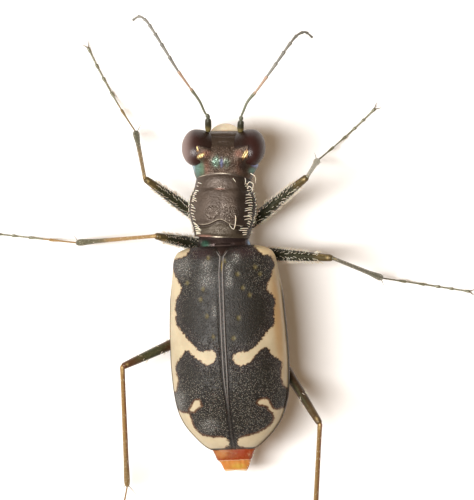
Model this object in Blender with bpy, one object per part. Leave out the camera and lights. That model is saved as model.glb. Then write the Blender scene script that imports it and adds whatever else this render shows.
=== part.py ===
"""Life-size tiger beetle, standing still with its legs spread.

Sizes are in millimetres and become metres as each mesh is made. The head faces -Y, up is +Z,
and the feet stand on Z = 0 below the middle of the whole model. "left" is the animal's own
left side, at +X. The head and prothorax share one tilted frame, the hind body another.
"""
import math
from typing import NamedTuple

import bmesh
import bpy
from mathutils import Euler, Matrix, Vector

MM = 0.001
GAP = 0.3
SHARP_ANGLE = math.radians(50.0)

# Stance of the two halves of the body
BODY_ROLL = math.radians(4.0)
FORE_PLACE = (0.08, -4.16, 3.45)
FORE_YAW = math.radians(-1.9)
HIND_PLACE = (-0.02, -3.82, 3.05)
HIND_YAW = math.radians(2.25)

# Head, from its rear rim to the front of the clypeus, forward of the prothorax's rear edge
HEAD_REAR = 2.76
HEAD_FRONT = 4.12
HEAD_SIDES = 28
HEAD_RINGS = 12
HEAD_HALF_WIDTH = ((0.0, 1.14), (0.12, 1.24), (0.35, 1.2), (0.6, 1.02), (0.85, 0.78), (1.0, 0.6))
HEAD_TOP = ((0.0, 0.78), (0.3, 0.9), (0.6, 0.78), (0.85, 0.42), (1.0, 0.12))
HEAD_BOTTOM = ((0.0, 0.72), (0.3, 0.9), (0.6, 0.86), (0.85, 0.6), (1.0, 0.16))
HEAD_FULLNESS = 2.5
EYE_CENTRE = (1.0, -3.62, 0.22)
EYE_RADII = (0.67, 0.73, 0.66)
EYE_INNER_FACE = 0.84
EYE_SIDES = 20
EYE_RINGS = 12

# Mouth parts
LABRUM_HALF_WIDTH = 0.56
LABRUM_LENGTH = 0.5
LABRUM_THICKNESS = 0.34
LABRUM_PLACE = (0.0, -4.16, -0.54)
LABRUM_SLOPE = math.radians(58.0)
LABRUM_FRONT_HALF_WIDTH = 0.54
LABRUM_BOW = 0.5
LABRUM_TEETH = 3
LABRUM_TOOTH = 0.08
MANDIBLE_PATH = ((0.58, -3.74, -1.04), (0.68, -3.9, -1.34), (0.54, -4.1, -1.62), (0.2, -4.18, -1.78))
MANDIBLE_RADII = (0.25, 0.25, 0.2, 0.08)
PALP_PATH = ((0.55, -3.14, -1.16), (0.86, -3.2, -1.5), (1.24, -3.46, -1.58), (1.42, -3.8, -1.4))
PALP_RADII = (0.22, 0.24, 0.24, 0.16)

# Antennae: eleven segments along a bowed path, from the frons outward
ANTENNA_SEGMENTS = (0.5, 0.2, 1.2, 0.88, 0.8, 0.66, 0.55, 0.45, 0.38, 0.32, 0.34)
ANTENNA_SIDES = 8
SEGMENT_SHAPE = ((0.06, 0.23), (0.55, 0.23), (0.92, 0.26))
ANTENNA_TAPER = 0.12
ANTENNA_TAPER_FROM = 8
ANTENNA_ROOT = 0.18
ANTENNA_TIP = 0.14
ANTENNA_LEFT_PATH = (
    (0.6, -8.62, 3.76), (0.65, -9.02, 4.0), (0.77, -9.3, 4.2), (1.4, -10.2, 4.5),
    (1.88, -10.93, 4.7), (2.31, -11.6, 4.8), (2.82, -12.4, 4.75), (3.14, -12.85, 4.6),
    (3.38, -12.99, 4.5), (3.66, -12.84, 4.3),
)
ANTENNA_RIGHT_PATH = (
    (-0.66, -8.56, 3.82), (-0.69, -8.98, 4.05), (-0.78, -9.22, 4.2), (-0.92, -9.55, 4.3),
    (-1.3, -10.02, 4.45), (-1.79, -10.69, 4.65), (-2.22, -11.3, 4.75), (-2.6, -11.85, 4.7),
    (-2.98, -12.28, 4.5), (-3.22, -12.37, 4.35), (-3.55, -12.15, 4.1),
)

# Prothorax, forward of its rear edge
PRONOTUM_LENGTH = 2.45
PRONOTUM_SIDES = 32
PRONOTUM_RINGS = 17
PRONOTUM_HALF_WIDTH = (
    (0.0, 1.12), (0.06, 1.13), (0.17, 1.15), (0.3, 1.23), (0.5, 1.29), (0.7, 1.25),
    (0.84, 1.14), (0.93, 1.12), (1.0, 1.1),
)
PRONOTUM_TOP = (
    (0.0, 0.84), (0.08, 0.9), (0.2, 0.83), (0.32, 0.98), (0.55, 1.02), (0.74, 0.96),
    (0.82, 0.86), (0.93, 0.88), (1.0, 0.8),
)
PRONOTUM_BOTTOM = ((0.0, 0.86), (0.5, 0.95), (1.0, 0.85))
PRONOTUM_FULLNESS = 2.2

# Wing cases, from their front edge to the tail end
ELYTRA_LENGTH = 8.1
ELYTRON_SHELL = 0.5
ELYTRON_RINGS = 26
ELYTRON_STRIPS = 11
ELYTRA_HALF_WIDTH = (
    (0.0, 1.2), (0.012, 1.62), (0.03, 1.9), (0.06, 2.04), (0.1, 2.1), (0.27, 2.26),
    (0.47, 2.36), (0.58, 2.38), (0.66, 2.36), (0.735, 2.3), (0.81, 2.14), (0.86, 1.94),
    (0.905, 1.66), (0.955, 1.26), (0.985, 0.98), (1.0, 0.82),
)
ELYTRA_HEIGHT = (
    (0.0, 1.0), (0.02, 1.24), (0.06, 1.44), (0.2, 1.72), (0.45, 1.9), (0.7, 1.72), (0.88, 1.2),
    (1.0, 0.6),
)
ELYTRA_RIM = ((0.0, 0.3), (0.12, 0.16), (0.35, 0.0), (0.7, 0.0), (0.9, -0.12), (1.0, -0.25))
ELYTRA_FULLNESS = 2.35
ELYTRON_LEAST = 0.12
NOTCH_HALF_WIDTH = 0.52
NOTCH_LENGTH = 0.95

# Scutellum, the small shield between the wing cases
SCUTELLUM_FRONT = -0.02
SCUTELLUM_HALF_WIDTH = 0.4
SCUTELLUM_POINT = 0.1
SCUTELLUM_RISE = 0.12
SCUTELLUM_LENGTH = 0.62
SCUTELLUM_TOP = 1.3
SCUTELLUM_THICKNESS = 0.4

# Underbody
THORAX_FRONT = -0.02
THORAX_REAR = 3.4
THORAX_DEPTH = 0.75
ABDOMEN_REAR = 7.0
ABDOMEN_DEPTH = 0.82
BODY_RINGS = 12
BODY_SIDES = 26
BODY_FULLNESS = 2.3
THORAX_NECK = ((0.0, 0.5), (0.12, 0.66), (0.3, 0.98), (1.0, 1.0))
ABDOMEN_ROUNDING = ((0.0, 1.0), (0.7, 1.0), (1.0, 0.86))
TIP_FRONT = 7.3
TIP_REAR = 8.96
TIP_RINGS = 8
TIP_HALF_WIDTH = ((0.0, 0.9), (0.4, 0.88), (0.62, 0.8), (0.75, 0.66), (0.9, 0.5), (1.0, 0.3))
TIP_TOP = -0.52
TIP_THICKNESS = ((0.0, 0.3), (0.5, 0.34), (0.85, 0.3), (1.0, 0.18))
TIP_DROP = 0.12

# Legs
LIMB_SIDES = 10
COXA_RADII = (0.36, 0.36, 0.26)
COXA_LEAN = 0.35
COXA_OVERRUN = 0.2
COXA_SINK = 0.14
FEMUR_RADII = (0.2, 0.27, 0.29, 0.28, 0.26, 0.25, 0.25)
KNEE_DEPTH = 0.3
ANKLE_GAP = 0.22
TIBIA_RADII = (0.25, 0.25, 0.25, 0.25, 0.27)
TARSUS_SPLIT = (0.34, 0.22, 0.16, 0.1, 0.18)
TARSUS_SHAPE = ((0.03, 0.22), (0.6, 0.22), (0.93, 0.26))
TARSUS_AXIS_HEIGHT = 0.2
TARSUS_LANDING = 0.62
TARSUS_TIP = 0.2
CLAW_ROOT = 0.95
CLAW_LENGTH = 0.52
CLAW_ARCH = 0.06
CLAW_SPREAD = math.radians(26.0)
CLAW_RADII = (0.13, 0.1, 0.04)
SPUR_LENGTH = 0.5
SPUR_SINK = 0.22
SPUR_WAY = (0.5, 0.75, 0.45)
SPUR_RADII = (0.1, 0.03)


class Leg(NamedTuple):
    """One leg's joints, in millimetres, and how far its femur sags below a straight line."""

    seat: tuple
    hip: tuple
    knee: tuple
    ankle: tuple
    toe: tuple
    sag: float


LEGS = {
    "front_left": Leg(
        seat=(0.62, -4.72, 2.24), hip=(0.72, -4.76, 1.88), knee=(3.17, -6.52, 3.5),
        ankle=(3.56, -8.42, 1.0), toe=(5.42, -11.78, 0.0), sag=0.1,
    ),
    "front_right": Leg(
        seat=(-0.52, -4.66, 2.28), hip=(-0.84, -4.54, 1.95), knee=(-3.33, -6.59, 3.9),
        ankle=(-3.76, -7.26, 1.05), toe=(-6.09, -9.37, 0.0), sag=0.1,
    ),
    "middle_left": Leg(
        seat=(0.55, -3.3, 1.96), hip=(0.7, -3.82, 1.72), knee=(2.73, -4.22, 4.2),
        ankle=(5.94, -3.95, 1.1), toe=(9.94, -4.39, 0.0), sag=0.05,
    ),
    "middle_right": Leg(
        seat=(-0.65, -3.3, 2.03), hip=(-0.85, -3.55, 1.75), knee=(-4.34, -3.34, 4.0),
        ankle=(-6.36, -2.53, 0.8), toe=(-9.93, -1.98, 0.0), sag=0.25,
    ),
    "hind_left": Leg(
        seat=(0.45, -0.85, 1.95), hip=(0.55, -0.6, 1.58), knee=(4.07, 1.01, 3.7),
        ankle=(3.9, 5.87, 1.3), toe=(4.81, 10.47, 0.0), sag=0.42,
    ),
    "hind_right": Leg(
        seat=(-0.72, -0.95, 2.02), hip=(-1.32, -0.75, 1.6), knee=(-3.84, 3.3, 3.8),
        ankle=(-3.62, 8.02, 1.1), toe=(-3.95, 12.98, 0.0), sag=0.35,
    ),
}


def profile(stations: tuple, t: float) -> float:
    """Return the value at t of a smooth curve through (t, value) stations, with no overshoot."""
    count = len(stations)
    slopes = []
    for i in range(count - 1):
        (t0, v0), (t1, v1) = stations[i], stations[i + 1]
        slopes.append((v1 - v0) / (t1 - t0))
    tangents = [slopes[0]]
    for before, after in zip(slopes, slopes[1:]):
        same_way = before * after > 0.0
        tangents.append(2.0 * before * after / (before + after) if same_way else 0.0)
    tangents.append(slopes[-1])
    t = min(max(t, stations[0][0]), stations[-1][0])
    i = 0
    while i < count - 2 and t > stations[i + 1][0]:
        i += 1
    (t0, v0), (t1, v1) = stations[i], stations[i + 1]
    span = t1 - t0
    s = (t - t0) / span
    return (
        v0 * (1.0 + 2.0 * s) * (1.0 - s) ** 2
        + v1 * s * s * (3.0 - 2.0 * s)
        + tangents[i] * span * s * (1.0 - s) ** 2
        + tangents[i + 1] * span * s * s * (s - 1.0)
    )


def linear(channel: float) -> float:
    """Return the linear value of one sRGB channel."""
    return channel / 12.92 if channel <= 0.04045 else ((channel + 0.055) / 1.055) ** 2.4


def finish(name: str, colour: str, roughness: float, metallic: float) -> bpy.types.Material:
    """Return a plain surface with an sRGB colour such as "4a3b2f"."""
    material = bpy.data.materials.new(name)
    material.use_nodes = True
    shader = material.node_tree.nodes["Principled BSDF"]
    rgb = [linear(int(colour[i:i + 2], 16) / 255.0) for i in (0, 2, 4)]
    shader.inputs["Base Color"].default_value = (*rgb, 1.0)
    shader.inputs["Roughness"].default_value = roughness
    shader.inputs["Metallic"].default_value = metallic
    return material


def loft(bm: bmesh.types.BMesh, rings: list) -> None:
    """Skin closed rings of equal count, in order, and fill both ends."""
    loops = [[bm.verts.new(Vector(p) * MM) for p in ring] for ring in rings]
    count = len(loops[0])
    for near, far in zip(loops, loops[1:]):
        for k in range(count):
            after = (k + 1) % count
            bm.faces.new((near[k], near[after], far[after], far[k]))
    for loop in (loops[0], loops[-1]):
        middle = sum((v.co for v in loop), Vector()) / count
        hub = bm.verts.new(middle)
        for k in range(count):
            bm.faces.new((loop[k], loop[(k + 1) % count], hub))
    bmesh.ops.recalc_face_normals(bm, faces=bm.faces)


def oval_ring(y: float, half_width: float, up: float, down: float, centre: float,
              fullness: float, sides: int) -> list:
    """Return a ring across the body at y: a rounded oval, fuller as the exponent grows."""
    ring = []
    for k in range(sides):
        angle = math.tau * (k + 0.5) / sides
        c, s = math.cos(angle), math.sin(angle)
        x = half_width * math.copysign(abs(c) ** (2.0 / fullness), c)
        reach = up if s > 0.0 else down
        z = centre + reach * math.copysign(abs(s) ** (2.0 / fullness), s)
        ring.append((x, y, z))
    return ring


def tube_rings(path: list, radii: list, sides: int) -> list:
    """Return round rings square to a path, one at each of its points."""
    points = [Vector(p) for p in path]
    rings = []
    across = None
    for i, point in enumerate(points):
        ahead = points[min(i + 1, len(points) - 1)] - points[max(i - 1, 0)]
        ahead.normalize()
        if across is None:
            guide = Vector((0.0, 0.0, 1.0)) if abs(ahead.z) < 0.9 else Vector((1.0, 0.0, 0.0))
            across = ahead.cross(guide).normalized()
        else:
            across = (across - ahead * across.dot(ahead)).normalized()
        other = ahead.cross(across)
        ring = []
        for k in range(sides):
            angle = math.tau * (k + 0.5) / sides
            ring.append(point + (across * math.cos(angle) + other * math.sin(angle)) * radii[i])
        rings.append(ring)
    return rings


def along(points: tuple, t: float) -> Vector:
    """Return the place at t, from 0 to 1 by length, on a smooth curve through the points."""
    knots = [Vector(p) for p in points]
    reach = [0.0]
    for a, b in zip(knots, knots[1:]):
        reach.append(reach[-1] + (b - a).length)
    stations = [[(r / reach[-1], knot[axis]) for r, knot in zip(reach, knots)] for axis in range(3)]
    return Vector([profile(tuple(stations[axis]), t) for axis in range(3)])


def new_object(name: str, bm: bmesh.types.BMesh, material: bpy.types.Material,
               parent: bpy.types.Object) -> bpy.types.Object:
    """Turn a bmesh into a named object, shaded smooth with sharp edges kept."""
    bmesh.ops.triangulate(bm, faces=bm.faces)
    mesh = bpy.data.meshes.new(name)
    bm.to_mesh(mesh)
    bm.free()
    mesh.materials.append(material)
    mesh.shade_smooth()
    mesh.set_sharp_from_angle(angle=SHARP_ANGLE)
    piece = bpy.data.objects.new(name, mesh)
    bpy.context.scene.collection.objects.link(piece)
    piece.parent = parent
    return piece


def keep_largest(mesh: bpy.types.Mesh) -> None:
    """Delete every connected surface of a mesh but the one with the most faces."""
    bm = bmesh.new()
    bm.from_mesh(mesh)
    unseen = set(bm.verts)
    shells = []
    while unseen:
        stack = [unseen.pop()]
        shell = set(stack)
        while stack:
            for edge in stack.pop().link_edges:
                for vert in edge.verts:
                    if vert in unseen:
                        unseen.discard(vert)
                        shell.add(vert)
                        stack.append(vert)
        shells.append(shell)
    largest = max(shells, key=lambda shell: sum(len(v.link_faces) for v in shell))
    loose = [v for v in bm.verts if v not in largest]
    bmesh.ops.delete(bm, geom=loose, context="VERTS")
    bm.to_mesh(mesh)
    bm.free()


def apply_modifiers(piece: bpy.types.Object) -> None:
    """Replace an object's mesh by the one its modifiers make."""
    bpy.context.view_layer.update()
    depsgraph = bpy.context.evaluated_depsgraph_get()
    made = bpy.data.meshes.new_from_object(piece.evaluated_get(depsgraph))
    piece.modifiers.clear()
    piece.data = made
    keep_largest(made)
    made.shade_smooth()
    made.set_sharp_from_angle(angle=SHARP_ANGLE)


def fuse(body: bpy.types.Object, pieces: list) -> bpy.types.Object:
    """Join small pieces to a body by one Boolean union and remove them."""
    group = bpy.data.collections.new(body.name + "_pieces")
    bpy.context.scene.collection.children.link(group)
    for piece in pieces:
        bpy.context.scene.collection.objects.unlink(piece)
        group.objects.link(piece)
    union = body.modifiers.new("union", "BOOLEAN")
    union.operation = "UNION"
    union.operand_type = "COLLECTION"
    union.collection = group
    union.solver = "EXACT"
    apply_modifiers(body)
    for piece in pieces:
        bpy.data.objects.remove(piece, do_unlink=True)
    bpy.data.collections.remove(group)
    return body


def limb(name: str, path: list, radii: list, material: bpy.types.Material,
         parent: bpy.types.Object, sides: int = LIMB_SIDES) -> bpy.types.Object:
    """Return a closed round limb along a path."""
    bm = bmesh.new()
    loft(bm, tube_rings(path, radii, sides))
    return new_object(name, bm, material, parent)


def head_ring(t: float) -> list:
    """Return the ring of the head capsule at t, from its rear rim to the clypeus."""
    y = -(HEAD_REAR + (HEAD_FRONT - HEAD_REAR) * t)
    return oval_ring(
        y, profile(HEAD_HALF_WIDTH, t), profile(HEAD_TOP, t), profile(HEAD_BOTTOM, t), 0.0,
        HEAD_FULLNESS, HEAD_SIDES,
    )


def eye_ball(name: str, side: int, swell: float, inner_face: float,
             material: bpy.types.Material, parent: bpy.types.Object) -> bpy.types.Object:
    """Return an oval eye, cut flat on its inner side, made larger all round by swell."""
    bm = bmesh.new()
    bmesh.ops.create_uvsphere(bm, u_segments=EYE_SIDES, v_segments=EYE_RINGS, radius=1.0)
    radii = [(r + swell) * MM for r in EYE_RADII]
    bmesh.ops.scale(bm, vec=radii, verts=bm.verts)
    centre = Vector((side * EYE_CENTRE[0], EYE_CENTRE[1], EYE_CENTRE[2])) * MM
    bmesh.ops.translate(bm, vec=centre, verts=bm.verts)
    cut = bmesh.ops.bisect_plane(
        bm, geom=bm.verts[:] + bm.edges[:] + bm.faces[:], plane_co=(side * inner_face * MM, 0.0, 0.0),
        plane_no=(-side, 0.0, 0.0), clear_outer=True,
    )
    rim = [e for e in cut["geom_cut"] if isinstance(e, bmesh.types.BMEdge)]
    bmesh.ops.contextual_create(bm, geom=rim)
    bmesh.ops.recalc_face_normals(bm, faces=bm.faces)
    return new_object(name, bm, material, parent)


def build_head(fore: bpy.types.Object, metal: bpy.types.Material, eye: bpy.types.Material) -> None:
    """Build the head capsule with a socket for each eye, and the two eyes."""
    bm = bmesh.new()
    loft(bm, [head_ring(i / (HEAD_RINGS - 1)) for i in range(HEAD_RINGS)])
    head = new_object("head", bm, metal, fore)
    sockets = []
    for label, side in (("left", 1), ("right", -1)):
        eye_ball("eye_" + label, side, 0.0, EYE_INNER_FACE, eye, fore)
        socket = eye_ball("socket_" + label, side, GAP, EYE_INNER_FACE - GAP, eye, fore)
        cut = head.modifiers.new("socket_" + label, "BOOLEAN")
        cut.operation = "DIFFERENCE"
        cut.object = socket
        cut.solver = "EXACT"
        sockets.append(socket)
    apply_modifiers(head)
    for socket in sockets:
        bpy.data.objects.remove(socket, do_unlink=True)


def build_labrum(fore: bpy.types.Object, cream: bpy.types.Material) -> None:
    """Build the upper lip: a sloping plate whose free edge has small blunt teeth."""
    bm = bmesh.new()
    steps = 4 * LABRUM_TEETH
    outline = [(-LABRUM_HALF_WIDTH, 0.0)]
    for k in range(steps + 1):
        u = -1.0 + 2.0 * k / steps
        bow = math.sqrt(1.0 - (LABRUM_BOW * u) ** 2)
        tooth = LABRUM_TOOTH * (abs(math.cos(math.pi * LABRUM_TEETH * u / 2.0)) - 1.0)
        outline.append((LABRUM_FRONT_HALF_WIDTH * u, -(LABRUM_LENGTH * bow + tooth)))
    outline.append((LABRUM_HALF_WIDTH, 0.0))
    half = LABRUM_THICKNESS / 2.0
    tilt = Matrix.Rotation(LABRUM_SLOPE, 4, "X")
    place = Matrix.Translation(Vector(LABRUM_PLACE)) @ tilt
    rings = [[place @ Vector((x, y, z)) for x, y in outline] for z in (-half, half)]
    loft(bm, rings)
    new_object("labrum", bm, cream, fore)


def build_mouth(fore: bpy.types.Object, horn: bpy.types.Material, metal: bpy.types.Material) -> None:
    """Build the two jaws, folded under the lip, and the two outer palps."""
    for label, side in (("left", 1), ("right", -1)):
        for name, path, radii, material in (
            ("mandible_", MANDIBLE_PATH, MANDIBLE_RADII, horn),
            ("palp_", PALP_PATH, PALP_RADII, metal),
        ):
            mirrored = [(side * x, y, z) for x, y, z in path]
            steps = 3 * len(path)
            curve = [along(mirrored, k / steps) for k in range(steps + 1)]
            stations = tuple((k / (len(radii) - 1), r) for k, r in enumerate(radii))
            widths = [profile(stations, k / steps) for k in range(steps + 1)]
            limb(name + label, curve, widths, material, fore, sides=8)


def build_antenna(name: str, path: tuple, material: bpy.types.Material,
                  root: bpy.types.Object) -> None:
    """Build one feeler, each of its segments narrow at the root and swollen at its end."""
    total = sum(ANTENNA_SEGMENTS)
    curve = []
    widths = []
    done = 0.0
    for index, length in enumerate(ANTENNA_SEGMENTS):
        thin = min(1.0, 1.0 - ANTENNA_TAPER * (index + 1 - ANTENNA_TAPER_FROM))
        for share, width in SEGMENT_SHAPE:
            curve.append(along(path, (done + share * length) / total))
            widths.append(width * thin)
        done += length
    curve.append(along(path, 1.0))
    widths[0] = ANTENNA_ROOT
    widths.append(ANTENNA_TIP)
    limb(name, curve, widths, material, root, sides=ANTENNA_SIDES)


def build_pronotum(fore: bpy.types.Object, metal: bpy.types.Material) -> None:
    """Build the prothorax: a drum with a waist behind its front rim and before its rear one."""
    rings = []
    for i in range(PRONOTUM_RINGS):
        t = i / (PRONOTUM_RINGS - 1)
        rings.append(oval_ring(
            -PRONOTUM_LENGTH * t, profile(PRONOTUM_HALF_WIDTH, t), profile(PRONOTUM_TOP, t),
            profile(PRONOTUM_BOTTOM, t), 0.0, PRONOTUM_FULLNESS, PRONOTUM_SIDES,
        ))
    bm = bmesh.new()
    loft(bm, rings)
    new_object("pronotum", bm, metal, fore)


def elytron_point(t: float, u: float, inset: float, side: int) -> Vector:
    """Return a point of a wing case, t along it, u from the seam to the rim, inset below its skin."""
    seam = GAP / 2.0
    y = ELYTRA_LENGTH * t
    if y < NOTCH_LENGTH:
        seam += NOTCH_HALF_WIDTH * (1.0 - y / NOTCH_LENGTH)
    half_width = max(profile(ELYTRA_HALF_WIDTH, t) - inset, seam + ELYTRON_LEAST)
    height = max(profile(ELYTRA_HEIGHT, t) - inset, ELYTRON_LEAST)
    angle = u * math.pi / 2.0
    power = 2.0 / ELYTRA_FULLNESS
    x = seam + (half_width - seam) * math.sin(angle) ** power
    rise = math.cos(angle) if u < 1.0 else 0.0
    z = profile(ELYTRA_RIM, t) + height * rise ** power
    return Vector((side * x, y, z))


def build_elytra(hind: bpy.types.Object, case: bpy.types.Material) -> None:
    """Build the two wing cases, each a domed shell open below."""
    for label, side in (("left", 1), ("right", -1)):
        rings = []
        for i in range(ELYTRON_RINGS):
            t = 0.5 - 0.5 * math.cos(math.pi * i / (ELYTRON_RINGS - 1))
            outer = [elytron_point(t, j / ELYTRON_STRIPS, 0.0, side)
                     for j in range(ELYTRON_STRIPS + 1)]
            inner = [elytron_point(t, j / ELYTRON_STRIPS, ELYTRON_SHELL, side)
                     for j in range(ELYTRON_STRIPS, -1, -1)]
            rings.append(outer + inner)
        bm = bmesh.new()
        loops = [[bm.verts.new(p * MM) for p in ring] for ring in rings]
        count = len(loops[0])
        for near, far in zip(loops, loops[1:]):
            for k in range(count):
                after = (k + 1) % count
                bm.faces.new((near[k], near[after], far[after], far[k]))
        for loop in (loops[0], loops[-1]):
            for j in range(ELYTRON_STRIPS):
                bm.faces.new((loop[j], loop[j + 1], loop[count - 2 - j], loop[count - 1 - j]))
        bmesh.ops.recalc_face_normals(bm, faces=bm.faces)
        new_object("elytron_" + label, bm, case, hind)


def build_scutellum(hind: bpy.types.Object, metal: bpy.types.Material) -> None:
    """Build the small triangular shield in the notch between the wing cases."""
    wide, blunt = SCUTELLUM_HALF_WIDTH, SCUTELLUM_POINT
    outline = [(-wide, 0.0), (wide, 0.0), (blunt, SCUTELLUM_LENGTH), (-blunt, SCUTELLUM_LENGTH)]
    rings = []
    for z in (SCUTELLUM_TOP - SCUTELLUM_THICKNESS, SCUTELLUM_TOP):
        rings.append([(x, SCUTELLUM_FRONT + y, z + SCUTELLUM_RISE * y) for x, y in outline])
    bm = bmesh.new()
    loft(bm, rings)
    new_object("scutellum", bm, metal, hind)


def underbody_rings(front: float, rear: float, depth: float, taper: tuple) -> list:
    """Return rings of the body below the wing cases, clear of their inner faces."""
    rings = []
    for i in range(BODY_RINGS):
        s = i / (BODY_RINGS - 1)
        y = front + (rear - front) * s
        t = max(y, 0.0) / ELYTRA_LENGTH
        clear = ELYTRON_SHELL + GAP
        shrink = profile(taper, s)
        half_width = (profile(ELYTRA_HALF_WIDTH, t) - clear) * shrink
        up = (profile(ELYTRA_HEIGHT, t) - clear) * shrink
        rim = profile(ELYTRA_RIM, t)
        rings.append(oval_ring(
            y, half_width, up, (depth + rim) * shrink, rim, BODY_FULLNESS, BODY_SIDES,
        ))
    return rings


def build_underbody(hind: bpy.types.Object, metal: bpy.types.Material,
                    orange: bpy.types.Material) -> None:
    """Build the hind thorax, the abdomen and the bare end of the abdomen."""
    for name, front, rear, depth, taper in (
        ("thorax", THORAX_FRONT, THORAX_REAR, THORAX_DEPTH, THORAX_NECK),
        ("abdomen", THORAX_REAR + GAP, ABDOMEN_REAR, ABDOMEN_DEPTH, ABDOMEN_ROUNDING),
    ):
        bm = bmesh.new()
        loft(bm, underbody_rings(front, rear, depth, taper))
        new_object(name, bm, metal, hind)
    rings = []
    for i in range(TIP_RINGS):
        s = i / (TIP_RINGS - 1)
        half = profile(TIP_THICKNESS, s)
        centre = TIP_TOP - TIP_DROP * s - half
        rings.append(oval_ring(
            TIP_FRONT + (TIP_REAR - TIP_FRONT) * s, profile(TIP_HALF_WIDTH, s), half, half,
            centre, BODY_FULLNESS, BODY_SIDES,
        ))
    bm = bmesh.new()
    loft(bm, rings)
    new_object("abdomen_tip", bm, orange, hind)


def cone(path: list, radii: tuple, material: bpy.types.Material,
         root: bpy.types.Object) -> bpy.types.Object:
    """Return a thin tapered spine or claw along a path."""
    return limb("spine", path, list(radii), material, root, sides=5)


def build_leg(name: str, leg: Leg, metal: bpy.types.Material, tan: bpy.types.Material,
              root: bpy.types.Object) -> None:
    """Build one leg: coxa and femur, tibia with its spurs, and the jointed foot with claws."""
    seat, hip, knee, ankle, toe = (Vector(p) for p in leg[:5])

    steps = len(FEMUR_RADII) - 1
    bend = (hip + knee) / 2.0 - Vector((0.0, 0.0, leg.sag))
    thigh = []
    for k in range(steps + 1):
        s = k / steps
        thigh.append(hip * (1 - s) ** 2 + bend * 2 * s * (1 - s) + knee * s ** 2)
    femur = limb(name + "_femur", thigh, list(FEMUR_RADII), metal, root)
    below = Vector((seat.x, seat.y, hip.z))
    outward = hip - below
    elbow = (seat + below) / 2.0 + outward * COXA_LEAN
    coxa_end = hip + outward * COXA_OVERRUN - Vector((0.0, 0.0, COXA_SINK))
    coxa = limb("coxa", [seat, elbow, coxa_end], list(COXA_RADII), metal, root)
    fuse(femur, [coxa])

    shin_way = (ankle - knee).normalized()
    start = knee + shin_way * (GAP + KNEE_DEPTH)
    stop = ankle - shin_way * ANKLE_GAP
    steps = len(TIBIA_RADII) - 1
    shin = [start.lerp(stop, k / steps) for k in range(steps + 1)]
    tibia = limb(name + "_tibia", shin, list(TIBIA_RADII), tan, root)
    flat = Vector((toe.x - ankle.x, toe.y - ankle.y, 0.0)).normalized()
    sideways = Vector((0.0, 0.0, 1.0)).cross(flat)
    spurs = []
    for turn in (-1.0, 1.0):
        base = stop - shin_way * SPUR_SINK
        way = flat * SPUR_WAY[0] + sideways * turn * SPUR_WAY[1] + shin_way * SPUR_WAY[2]
        tip = base + way * SPUR_LENGTH
        spurs.append(cone([base, tip], SPUR_RADII, tan, root))
    fuse(tibia, spurs)

    foot_start = ankle + (toe - ankle).normalized() * ANKLE_GAP
    foot_path = []
    foot_radii = []
    done = 0.0
    for share in TARSUS_SPLIT:
        for place, width in TARSUS_SHAPE:
            foot_path.append(foot_point(foot_start, toe, done + place * share))
            foot_radii.append(width)
        done += share
    foot_path.append(foot_point(foot_start, toe, 1.0))
    foot_radii.append(TARSUS_TIP)
    foot = limb(name + "_tarsus", foot_path, foot_radii, tan, root)
    claws = []
    for turn in (-1.0, 1.0):
        way = Matrix.Rotation(turn * CLAW_SPREAD, 3, "Z") @ flat
        base = foot_point(foot_start, toe, CLAW_ROOT)
        middle = base + way * CLAW_LENGTH * 0.6 + Vector((0.0, 0.0, CLAW_ARCH))
        tip = base + way * CLAW_LENGTH - Vector((0.0, 0.0, 2.0 * CLAW_ARCH))
        claws.append(cone([base, middle, tip], CLAW_RADII, tan, root))
    fuse(foot, claws)
    for vert in foot.data.vertices:
        vert.co.z = max(vert.co.z, 0.0)


def foot_point(start: Vector, toe: Vector, s: float) -> Vector:
    """Return the axis of a foot at s, easing down to lie along the floor."""
    point = start.lerp(toe, s)
    fall = max(0.0, 1.0 - s / TARSUS_LANDING)
    point.z = TARSUS_AXIS_HEIGHT + (start.z - TARSUS_AXIS_HEIGHT) * fall ** 1.5
    return point


def empty(name: str, place: tuple, roll: float, yaw: float) -> bpy.types.Object:
    """Return a frame that carries one part of the body."""
    frame = bpy.data.objects.new(name, None)
    bpy.context.scene.collection.objects.link(frame)
    frame.location = Vector(place) * MM
    frame.rotation_euler = Euler((0.0, roll, yaw))
    return frame


def main() -> None:
    """Clear the scene and build the beetle."""
    for old in list(bpy.data.objects):
        bpy.data.objects.remove(old, do_unlink=True)

    bronze = finish("bronze_cuticle", "4b3d34", 0.38, 0.6)
    green = finish("dark_green_cuticle", "2e2d22", 0.35, 0.6)
    tan = finish("leg_cuticle", "7a6a4c", 0.42, 0.3)
    grey = finish("antenna_cuticle", "55534a", 0.45, 0.3)
    case = finish("wing_case_cuticle", "3b332d", 0.45, 0.1)
    cream = finish("cream_cuticle", "e9dcc0", 0.4, 0.0)
    horn = finish("jaw_cuticle", "5a3a22", 0.35, 0.0)
    eye = finish("eye_facets", "5b4440", 0.3, 0.0)
    orange = finish("orange_cuticle", "b8561a", 0.4, 0.0)

    root = empty("beetle", (0.0, 0.0, 0.0), 0.0, 0.0)
    fore = empty("fore_body", FORE_PLACE, BODY_ROLL, FORE_YAW)
    hind = empty("hind_body", HIND_PLACE, BODY_ROLL, HIND_YAW)
    for frame in (fore, hind):
        frame.parent = root

    build_head(fore, bronze, eye)
    build_labrum(fore, cream)
    build_mouth(fore, horn, green)
    build_antenna("antenna_left", ANTENNA_LEFT_PATH, grey, root)
    build_antenna("antenna_right", ANTENNA_RIGHT_PATH, grey, root)
    build_pronotum(fore, bronze)
    build_elytra(hind, case)
    build_scutellum(hind, bronze)
    build_underbody(hind, green, orange)
    for label, leg in LEGS.items():
        build_leg("leg_" + label, leg, green, tan, root)


main()
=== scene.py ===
"""Looks of a life-size tiger beetle, set as a still museum model.

Sizes are in millimetres and become metres as each mesh is made. The head faces -Y and up is +Z.
"left" is the animal's own left, at +X, which is also the left side of the camera's picture.
"""

import logging
import math
from dataclasses import dataclass, field
from enum import Enum
from typing import ClassVar

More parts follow.
